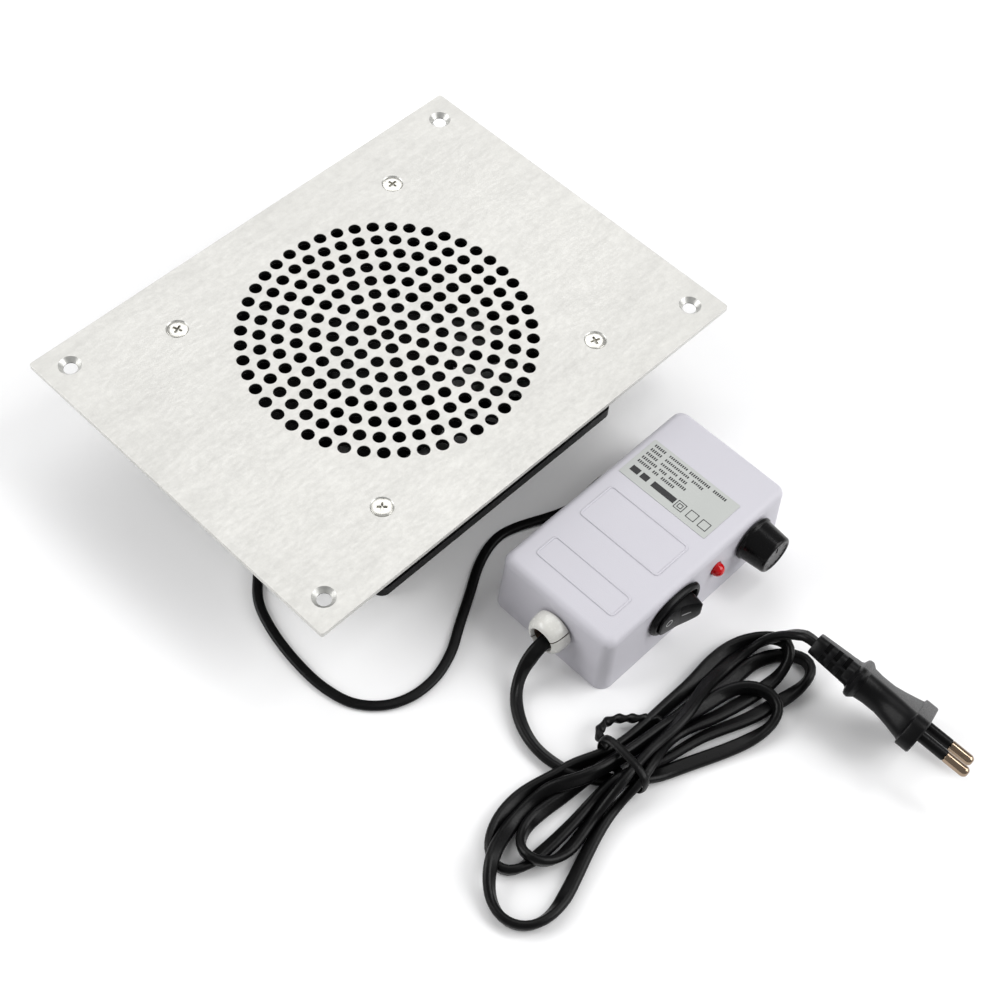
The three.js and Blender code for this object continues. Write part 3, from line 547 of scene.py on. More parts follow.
def settle(line, spacing, half_wide, half_thick, pinned, rounds=800):
    """Pushes a line's strands apart where they lie in each other, and lets it sink to the floor.

    Each point moves mostly up or down the camera's line, so over and under are kept.
    At the tie the bundle stands a little off the floor, on the tie's own thickness."""
    # Points nearer than this along the lead belong to one strand, and don't push each other.
    same_strand = 14
    push_share = 0.42
    pull_share = 0.05
    free_along_view = 0.97
    sink = 0.035
    floor_gap = 0.05
    tie_reach = 5
    place = line.copy()
    count = len(line)
    index = np.arange(count)
    apart = np.abs(index[:, None] - index[None, :]) > same_strand / spacing
    weight = np.where(pinned, 0.0, 1.0)
    for turn in range(rounds):
        if turn % 20 == 0:
            wide = flat_axis(place, spacing, bundled=in_bundle(place, spacing))
            thin = np.cross(tangents(place), wide)
        first, second, way, depth = near_pairs(place, wide, thin, half_wide, half_thick, apart)
        push = depth[:, None] * way * push_share
        move = np.zeros_like(place)
        hits = np.zeros(count)
        np.add.at(move, first, push)
        np.add.at(move, second, -push)
        np.add.at(hits, first, push.any(1))
        np.add.at(hits, second, push.any(1))
        place += move / np.maximum(hits, 1)[:, None] ** 0.5 * weight[:, None]
        pull = line - place
        pull -= (pull @ BACK)[:, None] * BACK * free_along_view
        place += pull * pull_share * weight[:, None]
        place[:, 2] -= sink * weight
        place = stiffened(place, weight)
        low = np.hypot(half_wide * wide[:, 2], half_thick * thin[:, 2]) + floor_gap
        low += TIE_THICK * np.exp(-((place[:, 1] - TIE_Y) / tie_reach) ** 2) * (place[:, 0] > HANK_X)
        place[:, 2] = np.where(pinned, place[:, 2], np.maximum(place[:, 2], low))
    return place


def flex_section(half_wide, half_thick, per_end=11, dip=0.12):
    """A flat flex cut across: round edges, and faces with a shallow dip, as (wide, thin) offsets."""
    shift = half_wide - half_thick
    angles = np.linspace(-math.pi / 2, math.pi / 2, per_end)
    edge = np.column_stack([shift + half_thick * np.cos(angles), half_thick * np.sin(angles)])
    return np.concatenate([edge, [(0, half_thick - dip)], -edge, [(0, dip - half_thick)]])


def flat_flex(name, line, wide, section, stands_for):
    """A flex of the given section along a line, lifted where it would touch the floor."""
    floor_gap = 0.08
    rings = swept(line, wide, section)
    lift = np.maximum(floor_gap - rings[:, :, 2].min(1), 0)
    rings[:, :, 2] += np.maximum(lift, smoothed(lift, 7))[:, None]
    return make(name, loft(rings), "cord_black", stands_for=stands_for, sharp=60)


def ribbon(name, line, wide, section, closed=False, stands_for=()):
    """A strip of one section along a line, with `wide` as the section's first direction."""
    rings = swept(line, squared(wide, tangents(line)), section)
    return make(name, loft(rings, closed), "cord_black", stands_for=stands_for, sharp=60)


# ---------------- mains lead and its tie

# The mains lead's way: x, y, z in millimetres, from the gland to the plug. Loops A, B and C turn back on
# the plug's side of the tie, and loops R, Q and P on the other side.
LEAD_IN = [
    (116, -33.5, 14.7), (116, -38.5, 14.5), (116, -43.2, 12.7), (116.1, -48.4, 8),
    (119.5, -54.5, 4), (127.5, -60.4, 2), (137.8, -63.5, 1.7), (147.5, -62.9, 1.7), (159.9, -57, 1.7),
]
LOOP_A = [
    (171.6, -42.6, 2.2), (178.3, -28.7, 2.5), (184.6, -14.2, 2.7), (187.3, -3.8, 3), (186.6, 3.9, 4.5),
    (183.9, 6.6, 6), (179.3, 6.2, 7.5), (175.1, 3.8, 8), (170.7, -2.3, 8), (167.9, -8.4, 7),
    (166.2, -13.7, 6.5), (164.2, -23.8, 6),
]
LOOP_R = [
    (159.7, -50.3, 6.5), (157, -61.2, 6.5), (154, -71.6, 6.5), (152.3, -81.2, 6.5), (152.4, -91.1, 6.5),
    (153.9, -98.6, 6.5), (157.8, -105.7, 5), (162.2, -110.3, 3), (167.5, -113.5, 3), (173.6, -114, 3),
    (178.3, -111.1, 3), (181, -106.3, 3), (181.6, -100.4, 3), (179.6, -92.4, 3), (176.6, -83.2, 3),
    (173.7, -74.9, 3.5), (171.8, -66.2, 4), (170.7, -58, 4.5), (169.9, -49.5, 5),
]
LOOP_B = [
    (170.2, -37.4, 2.5), (171.7, -28.3, 2.5), (174.4, -18.3, 2.5), (179.2, -7.6, 2.5), (182.8, 3.1, 2.5),
    (184.4, 11.1, 3), (185.4, 19.2, 3), (184.3, 26, 3), (180.4, 28.5, 3), (175.8, 26.4, 3),
    (171.1, 21.2, 3), (167.4, 14.1, 3), (165.8, 6.8, 2.7), (165.6, -0.6, 2.4), (165.4, -8.6, 2.2),
    (165, -17.3, 2.4), (163.6, -32, 5),
]
LOOP_Q = [
    (156.1, -45.9, 2.2), (152.2, -55.6, 2.2), (149, -65.9, 2.5), (147, -76, 2.7), (146.7, -85, 3),
    (148, -92.9, 3), (151.1, -99.6, 3), (155.1, -103.1, 3), (159.7, -103.6, 3), (163, -101.2, 3),
    (164.5, -96.9, 3), (165, -89.5, 2.6), (164.8, -79.3, 2.4), (164.5, -70.2, 2.2), (163.7, -62.5, 2),
    (162.8, -54.6, 2),
]
LOOP_C = [
    (167.2, -28.4, 5), (171, -20.7, 5.5), (173.2, -14.5, 5.5), (175, -6.9, 5.5), (176.4, -0.3, 5.5),
    (177.7, 7.2, 5.5), (178.5, 14.4, 6.5), (176.7, 21.3, 7.5), (173.1, 25.7, 7.5), (168.7, 25.6, 7),
    (164.5, 22.9, 6), (161.3, 17, 5), (159.5, 9.5, 3.5), (158.6, -2.3, 2.5), (158.2, -13, 3),
    (157.8, -23.6, 3), (157.6, -30.6, 2.4),
]
LOOP_P = [
    (160.5, -51, 8), (158.4, -59.1, 6), (155.9, -66.7, 5), (154.5, -74.7, 4), (154.8, -83, 4),
    (156.3, -89.9, 4.5), (159.1, -94, 6), (163.4, -95.9, 8), (167.9, -94.7, 8), (171.3, -91.1, 8),
    (172.6, -84.8, 8), (171.8, -77.4, 8.5), (169.9, -68.7, 9), (168.1, -61.2, 9), (166.3, -53, 9),
]
LEAD_OUT = [
    (166.7, -41.5, 9), (166.1, -30.2, 9), (166.2, -19.4, 9), (165.2, -8.8, 9), (164.3, 1.3, 9),
    (164.7, 8.1, 9.5), (165.8, 13.8, 10.6), (167.6, 18.6, 12.3), (169.8, 20.9, 14.2), (172.6, 22.8, 17.4),
    (175.6, 23.8, 20.2), (178.4, 24.1, 21.3), (181.4, 24.3, 21.2), (187.3, 24.7, 20.4),
]
PLUG_PLACE = (Matrix.Translation((225.9, 27.6, 15.3)) @ Matrix.Rotation(math.radians(4.3), 4, "Z")
              @ Matrix.Rotation(math.radians(7.5), 4, "Y") @ Matrix.Rotation(math.radians(-47), 4, "X"))


def eased(line, spacing):
    """The line with its small wobbles taken out where it runs straight, and its ends as they were."""
    straight = 0.01
    course = np.gradient(tangents(line), axis=0)
    curve = smoothed(np.linalg.norm(course, axis=1) / spacing, 9)[:, None]
    calm = straight / (straight + curve)
    calm[:8] = 0
    calm[-14:] = 0
    return line * (1 - calm) + smoothed(line, 19) * calm


def mains_course():
    """The traced way, settled on the floor and among its own strands, with both ends held."""
    route = LEAD_IN + LOOP_A + LOOP_R + LOOP_C + LOOP_Q + LOOP_B + LOOP_P + LEAD_OUT
    traced = eased(spline(route, STEP), STEP)
    held = np.zeros(len(traced), bool)
    held[:5] = True
    held[-6:] = True
    line = settle(traced, STEP, MAINS_WIDE, MAINS_THICK, held)
    line[6:-6] = smoothed(line, 5)[6:-6]
    return even(line, STEP)


def turned_to_plug(wide, line, reach=15):
    """The wide directions, turned over the last points to the way that the plug holds the flex."""
    plug_wide = np.array(PLUG_PLACE)[:3, 1]
    for k in range(reach):
        share = 1 - k / (reach - 1)
        end = wide[-k - 1]
        wide[-k - 1] = end * (1 - share) + plug_wide * share * np.sign(end @ plug_wide)
    return squared(wide, tangents(line))


mains_line = mains_course()
mains_wide = flat_axis(mains_line, STEP, bundled=in_bundle(mains_line, STEP))
mains_cord = flat_flex(
    "mains_flex", mains_line, turned_to_plug(mains_wide, mains_line), flex_section(MAINS_WIDE, MAINS_THICK),
    ("mains_lead", "mains_hank", "mains_lead_end"))

FAN_LEAD_ROUTE = [
    (6, -58.6, 3.4), (6, -60.4, 3.3), (9, -66, 2.4), (15, -75, 1.4), (24, -85, 1.1), (32, -91.6, 1.1),
    (43, -95.6, 1.1), (58, -98, 1.1), (72, -98, 1.1), (83, -95, 1.1), (91, -88, 1.1), (95, -79, 1.1),
    (95.3, -68, 1.1), (92, -57.5, 1.1), (86.5, -48, 1.1), (80, -36.5, 1.1), (74, -26, 1.1),
    (70.8, -17, 1.1), (70.3, -10.5, 1.1), (71.6, -5, 1.1), (73.7, 0.4, 1.1), (76.3, 6, 1.2),
    (79, 12.5, 1.6), (80.8, 18.5, 2.9), (81, 25.6, 5.6), (82.6, 31.2, 8.4), (86.2, 32, 9), (88.5, 32, 9),
]
FAN_WIDE = 1.85
FAN_THICK = 1.0
FAN_STEP = 1.5
fan_line = spline(FAN_LEAD_ROUTE, FAN_STEP)
fan_wide = flat_axis(fan_line, FAN_STEP, flat_bend=0.4)
fan_cord = flat_flex("fan_flex", fan_line, fan_wide, flex_section(FAN_WIDE, FAN_THICK, 7, 0.1), ("fan_lead",))


def tie_loop(count=72, fullness=0.72):
    """The tie round the bundle, as wide and as high as the strands that it holds."""
    near = mains_line[(np.abs(mains_line[:, 1] - TIE_Y) < 3.5) & (mains_line[:, 0] > HANK_X)]
    low_x = near[:, 0].min() - 1.9
    high_x = near[:, 0].max() + 1.9
    high_z = near[:, 2].max() + 2.3
    angles = np.linspace(0, 2 * np.pi, count, endpoint=False)
    round_x = fuller(np.cos(angles), fullness)
    round_z = fuller(np.sin(angles), fullness)
    line = np.column_stack([
        (low_x + high_x) / 2 + ((high_x - low_x) / 2 + 0.4) * round_x,
        TIE_Y - 0.9 * round_x + 0.6 * round_z,
        np.maximum(high_z / 2 + 0.3 + high_z / 2 * round_z, 0.62),
    ])
    way = unit(np.roll(line, -1, 0) - np.roll(line, 1, 0))
    out = np.column_stack([np.cos(angles), np.zeros(count), np.sin(angles)])
    wide = unit(np.cross(way, out))
    return ribbon("twist_tie", line, wide, ellipse(1.5, 0.6), closed=True, stands_for=("bundle_tie",))


def tie_tail(spacing=0.6, turn_length=9):
    """The tie's two ends twisted together, beside the bundle."""
    line = spline([
        (155.5, -47.4, 7), (152.4, -47.4, 6.4), (149.8, -46.3, 5.6), (148.4, -43.6, 5), (148.2, -40.4, 4.6),
        (149.4, -37.3, 4.4), (151.7, -34.6, 4.2), (154.3, -31.6, 4), (157, -28.6, 3.4), (160, -26, 2.6),
    ], spacing)
    way = tangents(line)
    side = unit(np.cross(way, (0, 0, 1.0)))
    upright = np.cross(side, way)
    twist = np.arange(len(line)) * spacing * 2 * math.pi / turn_length
    wide = side * np.cos(twist)[:, None] + upright * np.sin(twist)[:, None]
    return ribbon("twist_tie_tail", line, wide, ellipse(1.75, 1.15))


mains_pieces = [tie_loop(), tie_tail()]


# ---------------- face plate and its screws

PLATE_WIDTH = 150
PLATE_LENGTH = 200
PLATE_TOP = 42.0
PLATE_BOTTOM = 40.0
RINGS = 8
PITCH = 6.5
# The radii of the grille's holes, and of the countersinks at the plate's top.
HOLE = 2.32
CONE = 4.15
FAN_SCREWS = [(-52.5, -52.5), (52.5, -52.5), (52.5, 52.5), (-52.5, 52.5)]
DESK_HOLES = [(-65, -90), (65, -90), (65, 90), (-65, 90)]
SCREW_HOLES = [(x, y, 2.3) for x, y in FAN_SCREWS] + [(x, y, 2.5) for x, y in DESK_HOLES]


def circle(x, y, radius):
    return ellipse(radius, radius, 28) + (x, y)


def plate_outlines():
    """The plate's edge, the grille's holes ring by ring, and the screw holes."""
    outlines = [rounded_rectangle(PLATE_WIDTH, PLATE_LENGTH, 1.0, 5)]
    for ring in range(RINGS + 1):
        count = max(1, 6 * ring)
        for i in range(count):
            angle = math.pi / 2 + 2 * math.pi * i / count
            outlines.append(circle(PITCH * ring * math.cos(angle), PITCH * ring * math.sin(angle), HOLE))
    return outlines + [circle(*hole) for hole in SCREW_HOLES]


def plate_sheet(edge=0.14):
    """The plate as a filled curve with a fine bevel on every edge, turned into a mesh."""
    curve = bpy.data.curves.new("face_plate", "CURVE")
    curve.dimensions = "2D"
    curve.fill_mode = "BOTH"
    curve.extrude = ((PLATE_TOP - PLATE_BOTTOM) / 2 - edge) * MM
    curve.bevel_depth = edge * MM
    curve.bevel_resolution = 1
    curve.offset = -edge * MM
    for outline in plate_outlines():
        line = curve.splines.new("POLY")
        line.points.add(len(outline) - 1)
        line.points.foreach_set("co", np.column_stack([
            outline * MM, np.zeros(len(outline)), np.ones(len(outline))]).ravel())
        line.use_cyclic_u = True
    holder = linked("plate_curve", curve)
    bpy.context.view_layer.update()
    mesh = evaluated_mesh(holder)
    bpy.data.objects.remove(holder, do_unlink=True)
    piece = linked("face_plate_sheet", mesh)
    put(piece, Matrix.Translation((0, 0, (PLATE_TOP + PLATE_BOTTOM) / 2)))
    return piece


def face_plate():
    piece = plate_sheet()
    cones = []
    for x, y, radius in SCREW_HOLES:
        inner = radius + 0.01
        cones.append(moved(revolve([
            (0, PLATE_BOTTOM - 1), (inner, PLATE_BOTTOM - 1), (inner, PLATE_TOP - CONE + radius),
            (CONE, PLATE_TOP), (CONE + 0.5, PLATE_TOP + 0.5), (0, PLATE_TOP + 0.5),
        ], 40), x, y))
    boolean(piece, merged(*cones))
    finish_piece(piece, "plate_steel", stands_for=("face_plate",), sharp=22)
    colour_holes(piece)


def colour_holes(piece):
    """Hole walls and the lower part of the plate's outer edge painted dark as shade, and a bright
    countersink.
    """
    # Material 1 is painted shade: near-black on the hole walls and along the foot of the outer edge.
    piece.data.materials.append(LOOKS["painted_shade_walls"])
    piece.data.materials.append(LOOKS["countersink"])
    for face in piece.data.polygons:
        spot = face.center / MM
        within = max(abs(spot.x) / (PLATE_WIDTH / 2), abs(spot.y) / (PLATE_LENGTH / 2)) < 0.99
        # The lowest 0.7 mm of the outer edge gets painted shade, a dark line along its foot.
        shaded_foot = not within and spot.z < PLATE_BOTTOM + 0.7
        if (within and abs(face.normal.z) < 0.2) or shaded_foot:
            face.material_index = 1
        elif within and 0.2 < face.normal.z < 0.95:
            face.material_index = 2


def fan_screws():
    """Countersunk cross-head screws, each turned a little further than the last."""
    head = revolve(rounded([
        (0, 33), (1.5, 33), (1.9, 33.5), (1.9, 39.7), (3.75, 41.45), (3.75, 41.75), (2.6, 41.92), (0, 41.98),
    ], 0.12), 48)
    for number, (x, y) in enumerate(FAN_SCREWS):
        screw = make(f"screw_{number}", head)
        for angle in (0, 90):
            boolean(screw, turned_by(block(-0.34, 0.34, -1.8, 1.8, 40.7, 43), "Z", angle))
        bevel(screw, 0.12, 2, 50)
        turn = Matrix.Rotation(math.radians(20 + 25 * number), 4, "Z")
        put(screw, Matrix.Translation((x, y, 0)) @ turn)
        finish_piece(screw, "zinc", stands_for=(f"fan_screw_{number + 1}",))


face_plate()
fan_screws()


# ---------------- fan

FAN_SIDE = 120
FAN_TOP = 38
FLANGE = 4.5
BARREL = 59.6
THROAT = 58
BLADES = 7


def fan_frame():
    outline = rounded_rectangle(FAN_SIDE, FAN_SIDE, 4, 8)
    piece = make("fan_housing", prism(outline, 0, FLANGE))
    boolean(piece, prism(outline, FAN_TOP - FLANGE, FAN_TOP), "UNION")
    boolean(piece, rod(BARREL, 1, FAN_TOP - 1, 96), "UNION")
    boolean(piece, rod(THROAT, -1, FAN_TOP + 1, 96))
    boolean(piece, merged(*[moved(rod(2.3, -1, FAN_TOP + 1, 24), x, y) for x, y in FAN_SCREWS]))
    lead_exit = block(3.8, 8.2, -61, -55, 1.6, 5.2)
    boolean(piece, lead_exit)
    for angle in (45, 135):
        strut = block(-THROAT - 0.8, THROAT + 0.8, -2.25, 2.25, 0, 5)
        boolean(piece, turned_by(strut, "Z", angle), "UNION")
    boolean(piece, rod(22.1, 2.6, 6, 64))
    motor_base = revolve([
        (0, 0), (23.5, 0), (23.5, 5), (22.1, 5), (22.1, 2.6), (6, 2.6), (6, 27), (4.6, 27), (4.6, 2.6),
        (0, 2.6),
    ], 64)
    boolean(piece, motor_base, "UNION")
    bevel(piece, 0.35, 2, 50)
    finish_piece(piece, "fan_plastic", stands_for=("fan_frame",))


def fan_blade(turn, levels=9, across=9):
    """A cambered strip from the hub to the tip, steeper and narrower at the hub."""
    root = 23.1
    tip = 56.6
    middle_z = 21
    camber_height = 2.6
    half_thick = 0.8
    skew = 0.22
    rings = []
    for share in np.linspace(0, 1, levels):
        radius = root + (tip - root) * share
        pitch = math.radians(52 - 20 * share)
        chord = 26 + 8 * share
        along = np.linspace(-0.5, 0.5, across)
        camber = camber_height * (1 - 4 * along ** 2)
        half = half_thick * np.sqrt(np.maximum(1 - (2 * along) ** 4, 0.02))
        around = np.concatenate([along, along[::-1]]) * chord
        lift = np.concatenate([camber + half, (camber - half)[::-1]])
        sweep = around * math.cos(pitch) - lift * math.sin(pitch)
        rise = around * math.sin(pitch) + lift * math.cos(pitch)
        angle = -sweep / radius + skew * share + turn
        rings.append(np.column_stack([radius * np.cos(angle), radius * np.sin(angle), middle_z + rise]))
    return loft(rings)


def impeller():
    hub = revolve(rounded([
        (2.15, 29.6), (5, 29.6), (5, 32), (22.4, 32), (22.4, 8), (24, 8), (24, 34), (21, 34), (8, 34),
        (7.6, 33.7), (0, 33.7),
    ], 0.8), 72)
    blades = [fan_blade(2 * math.pi * i / BLADES) for i in range(BLADES)]
    make("fan_impeller", merged(hub, *blades), "fan_plastic", "rotor", ("impeller",), sharp=40)


fan_frame()
impeller()


# ---------------- control box

# The box's middle in x and y, and the places of what it carries, measured from there and from the floor.
BOX = (112.5, 15.7)
BOX_WIDTH = 52
BOX_LENGTH = 95
BOX_TOP = 28
WALL = 2
CONTROL_Z = 17.3
SWITCH_Y = -13.5
LAMP_Y = 9.2
KNOB_Y = 28.2
GLAND_X = 2.5
GLAND_Z = 15.5
GROMMET_Y = 16.3
GROMMET_Z = 9


def lean(z):
    """How far a wall has leaned in at that height: 1 in 28."""
    return z / 28


def control_spot(y, out=0.0):
    """The place on the box's +X wall of a control at that y, some way out from the wall's face."""
    return BOX[0] + BOX_WIDTH / 2 - lean(CONTROL_Z) + out, BOX[1] + y, CONTROL_Z


def on_wall(part, y):
    """Turns a part made about +Z so that it points out of the box's +X wall."""
    return moved(turned_by(part, "Y", 90), *control_spot(y))


def box_block(width, length, corner, top, fillet, base=0.0):
    """A rectangular body with leaning walls, round corners and a rounded top edge."""
    start = top - fillet
    levels = [(0, corner, base), (lean(start), corner, start)]
    for angle in np.radians(np.linspace(11, 90, 8)):
        inset = lean(start) + fillet * (1 - math.cos(angle))
        levels.append((inset, max(corner - inset * 0.55, 1), start + fillet * math.sin(angle)))
    return loft([at_height(rounded_rectangle(width - 2 * inset, length - 2 * inset, radius, 10), z)
                 for inset, radius, z in levels])


def oval(length, height, count=64):
    angles = np.linspace(0, 2 * np.pi, count, endpoint=False)
    return np.column_stack([height / 2 * fuller(np.cos(angles), 0.85),
                            length / 2 * fuller(np.sin(angles), 0.85)])


def embossed_frame(x0, x1, y0, y1):
    """A low raised line round a rectangle on the box's top."""
    width = x1 - x0
    length = y1 - y0
    section = [(0, 27.6), (0, 28.12), (0.2, 28.3), (0.6, 28.3), (0.8, 28.12), (0.8, 27.6)]
    rings = [at_height(rounded_rectangle(width - 2 * d, length - 2 * d, 1.5 - d * 0.6, 5), z)
             for d, z in section]
    return moved(loft(rings[::-1], closed=True), BOX[0] + (x0 + x1) / 2, BOX[1] + (y0 + y1) / 2)


def box_shell():
    shell = make("box_shell", moved(box_block(BOX_WIDTH, BOX_LENGTH, 4.6, BOX_TOP, 3.2), *BOX))
    inside = box_block(BOX_WIDTH - 2 * WALL, BOX_LENGTH - 2 * WALL, 3, 25.8, 2.4, base=-1)
    gland_hole = turned_by(rod(6, -5, 5, 40), "X", 90)
    grommet_hole = turned_by(rod(3.2, -5, 5, 32), "Y", 90)
    for cut in (
        moved(inside, *BOX),
        on_wall(prism(oval(22.9, 14.9), -5, 5), SWITCH_Y),
        on_wall(rod(2.9, -5, 5, 32), LAMP_Y),
        on_wall(rod(3.8, -5, 5, 32), KNOB_Y),
        moved(gland_hole, BOX[0] + GLAND_X, BOX[1] - 47, GLAND_Z),
        moved(grommet_hole, BOX[0] - 25.5, BOX[1] + GROMMET_Y, GROMMET_Z),
    ):
        boolean(shell, cut)
    finish_piece(shell, "box_plastic", stands_for=("box_top_shell",), sharp=28)
    boss = revolve([(1.2, 2.6), (3.2, 2.6), (3.2, 26), (1.2, 26)], 32, closed=True)
    bosses = [moved(boss, BOX[0] + x, BOX[1] + y) for x in (-20.4, 20.4) for y in (-41.9, 41.9)]
    make("box_bosses", merged(*bosses), "box_plastic")
    frames = merged(embossed_frame(-18.9, 17.2, -14.6, 2.7), embossed_frame(-18.1, 17.4, -37.2, -26.7))
    make("box_embossing", frames, "box_plastic", sharp=50)


def rating_label():
    """A grey film with printed bars and blank signs in place of words."""
    film = prism(rounded_rectangle(39.5, 19.6, 0.5, 4), 28.03, 28.16)
    make("label_film", moved(film, BOX[0] - 1.6, BOX[1] + 18.6), "label", stands_for=("rating_label",))
    low, high = 28.15, 28.19
    # Each row of print: its y, and how long its words are.
    rows = [
        (26.4, (5.4, 8.2, 9.6, 6.2)), (24.1, (5.4, 11.2, 5.2)), (21.8, (5.4, 7.4, 3.2)),
        (19.5, (6.6, 3.4, 8.0)), (17.3, (5.6, 2.6, 5.6)),
    ]
    marks = []
    for y, words in rows:
        x = -19.6
        for word in words:
            for stroke in np.arange(x, x + word - 0.4, 0.85):
                tall = 0.62 if int(stroke * 7) % 3 else 0.4
                marks.append(block(stroke, stroke + 0.5, y - tall, y + 0.62, low, high))
            x += word + 1.3
    for x, width in ((-19.2, 3.6), (-14.6, 3.2), (-9.4, 10.4)):
        marks.append(block(x, x + width, 12.0, 14.6, low, high))
    for x, size in ((3.6, 1.9), (3.6, 1.0), (9.2, 1.9), (14.6, 1.9)):
        rings = [at_height(rounded_rectangle(2 * size - d, 2 * size - d, 0.12, 3), z)
                 for d, z in ((0, low), (0, high), (0.6, high), (0.6, low))]
        marks.append(moved(loft(rings[::-1], closed=True), x, 13.0))
    make("label_print", moved(merged(*marks), *BOX), "print_black", sharp=40)


def switch_housing():
    """The switch's bezel and sleeve, its back, and three contact tabs inside the box."""
    section = [
        (0.0, 0.5), (0.0, 1.0), (0.2, 1.6), (0.6, 2.05), (1.05, 2.28), (1.45, 2.3), (1.75, 2.1), (1.9, 1.6),
        (1.9, -9), (1.25, -10.9), (1.25, 0.5),
    ]
    rings = [at_height(oval(24.6 - 2 * inset, 17.4 - 2 * inset, 72), z) for inset, z in section]
    make("switch_bezel", on_wall(loft(rings, closed=True), SWITCH_Y), "black_plastic",
         stands_for=("switch_body",), sharp=45)
    back = prism(oval(20.6, 13.4, 48), -10.9, -9.2)
    tabs = [block(-0.4, 0.4, y - 2.4, y + 2.4, -17, -10.8) for y in (-6, 0, 6)]
    make("switch_back", on_wall(merged(back, *tabs), SWITCH_Y), "black_plastic")


def rocker():
    """The rocker, made level about its pivot along Z and tipped to off, with its two marks."""
    place = Matrix.Translation(control_spot(SWITCH_Y, -1.2)) @ Matrix.Rotation(math.radians(-14), 4, "Z")
    # The section across the pivot: the face is a shallow V with raised ends.
    section = rounded([
        (-3.4, 0), (-3.4, -4), (1.8, -8), (6.5, -8.8), (6.7, -8.3), (5.75, -4), (5.35, 0), (5.75, 4),
        (6.7, 8.3), (6.5, 8.8), (1.8, 8), (-3.4, 4), (-3.4, 0),
    ], 1.4, 4)[:-1]
    lever = make("rocker_lever", prism(np.array(section), -6.3, 6.3))
    boolean(lever, turned_by(prism(oval(18.6, 12.4, 72), -9, 9), "Y", 90), "INTERSECT")
    bevel(lever, 0.35, 3, 50)
    put(lever, place)
    finish_piece(lever, "black_plastic", "rocker", ("switch_rocker",), sharp=40)

    def on_face(part, x, y, tilt):
        return moved(turned_by(turned_by(part, "Y", 90), "Z", tilt), x, y)

    line = on_face(block(-0.2, 0.2, -1.8, 1.8, -0.3, 0.08), 5.66, 2.9, -5.5)
    ring = revolve([(1.2, -0.3), (1.55, -0.3), (1.55, 0.1), (1.2, 0.1)], 32, closed=True)
    marks = merged(line, on_face(ring, 5.86, -4.4, 9.5))
    make("rocker_marks", marks, "print_white", "rocker", place=place)


def speed_knob():
    profile = rounded([
        (0, 9.6), (2.6, 9.6), (2.6, 4.7), (6.9, 4.7), (6.9, 0.5), (8.7, 0.5), (8.7, 1.7), (8.15, 2.1),
        (7.4, 10.9), (6.8, 11.5), (6.0, 11.5), (5.8, 11.15), (0, 11.15),
    ], 0.45, 4)
    knob = make("knob_body", revolve(profile, 96))
    boolean(knob, block(-5.4, -1.6, -0.45, 0.45, 10.8, 12))
    for angle in range(15, 360, 30):
        boolean(knob, turned_by(block(4.3, 5.5, -0.22, 0.22, 10.95, 12), "Z", angle))
    put(knob, Matrix.Translation(control_spot(KNOB_Y)) @ Matrix.Rotation(math.pi / 2, 4, "Y"))
    finish_piece(knob, "knob_plastic", "knob", ("speed_knob",), sharp=35)


def indicator():
    angles = np.radians(np.linspace(0, 90, 9))
    dome = [(2.6 * math.cos(a), 0.7 + 2.55 * math.sin(a)) for a in angles]
    profile = [(0, -3.6), (3.2, -3.6), (3.2, -2.6), (2.6, -2.6)] + dome
    make("indicator_lens", on_wall(revolve(profile, 40), LAMP_Y), "led_red",
         stands_for=("indicator_led",), sharp=45)


def gland():
    """The white strain relief: a round body with a square mouth that widens, a seam either side, and painted
    shade inside the mouth.
    """
    profile = rounded([
        (0, -9), (5, -9), (6.6, -4), (5.6, -2.4), (5.6, 0.3), (7.5, 0.3), (7.5, 2.6), (7.1, 5.6), (5.9, 7.5),
        (3.4, 7.5), (0, 7.2),
    ], 1.3, 6)
    body = make("strain_relief", revolve(profile, 72))
    mouth = [at_height(rounded_rectangle(width, width - 0.4, width / 2 - 0.5, 8), z)
             for z, width in ((-10, 6.4), (0.5, 6.4), (2, 7.8), (6.2, 8.4), (7.3, 9.4), (8.6, 11))]
    boolean(body, loft(mouth))
    for x0, x1 in ((3, 9), (-9, -3)):
        boolean(body, turned_by(block(x0, x1, -0.2, 0.2, -10, 9), "Z", 35))
    middle = Vector((BOX[0] + GLAND_X, BOX[1] - BOX_LENGTH / 2 + lean(GLAND_Z), GLAND_Z))
    put(body, Matrix.Translation(middle) @ Matrix.Rotation(math.pi / 2, 4, "X"))
    finish_piece(body, "white_nylon", stands_for=("cord_clamp_upper", "cord_clamp_lower"), sharp=40)
    # Painted shade: the faces inside the mouth take a dark brown colour.
    body.data.materials.append(LOOKS["painted_mouth_shade"])
    for face in body.data.polygons:
        spot = face.center / MM - middle
        inward = face.normal.x * spot.x + face.normal.z * spot.z < 0
        if inward and spot.y > -6.2:
            face.material_index = 1


box_shell()
rating_label()
switch_housing()
rocker()
speed_knob()
indicator()
gland()


# ---------------- plug

PIN_Y = 9.3


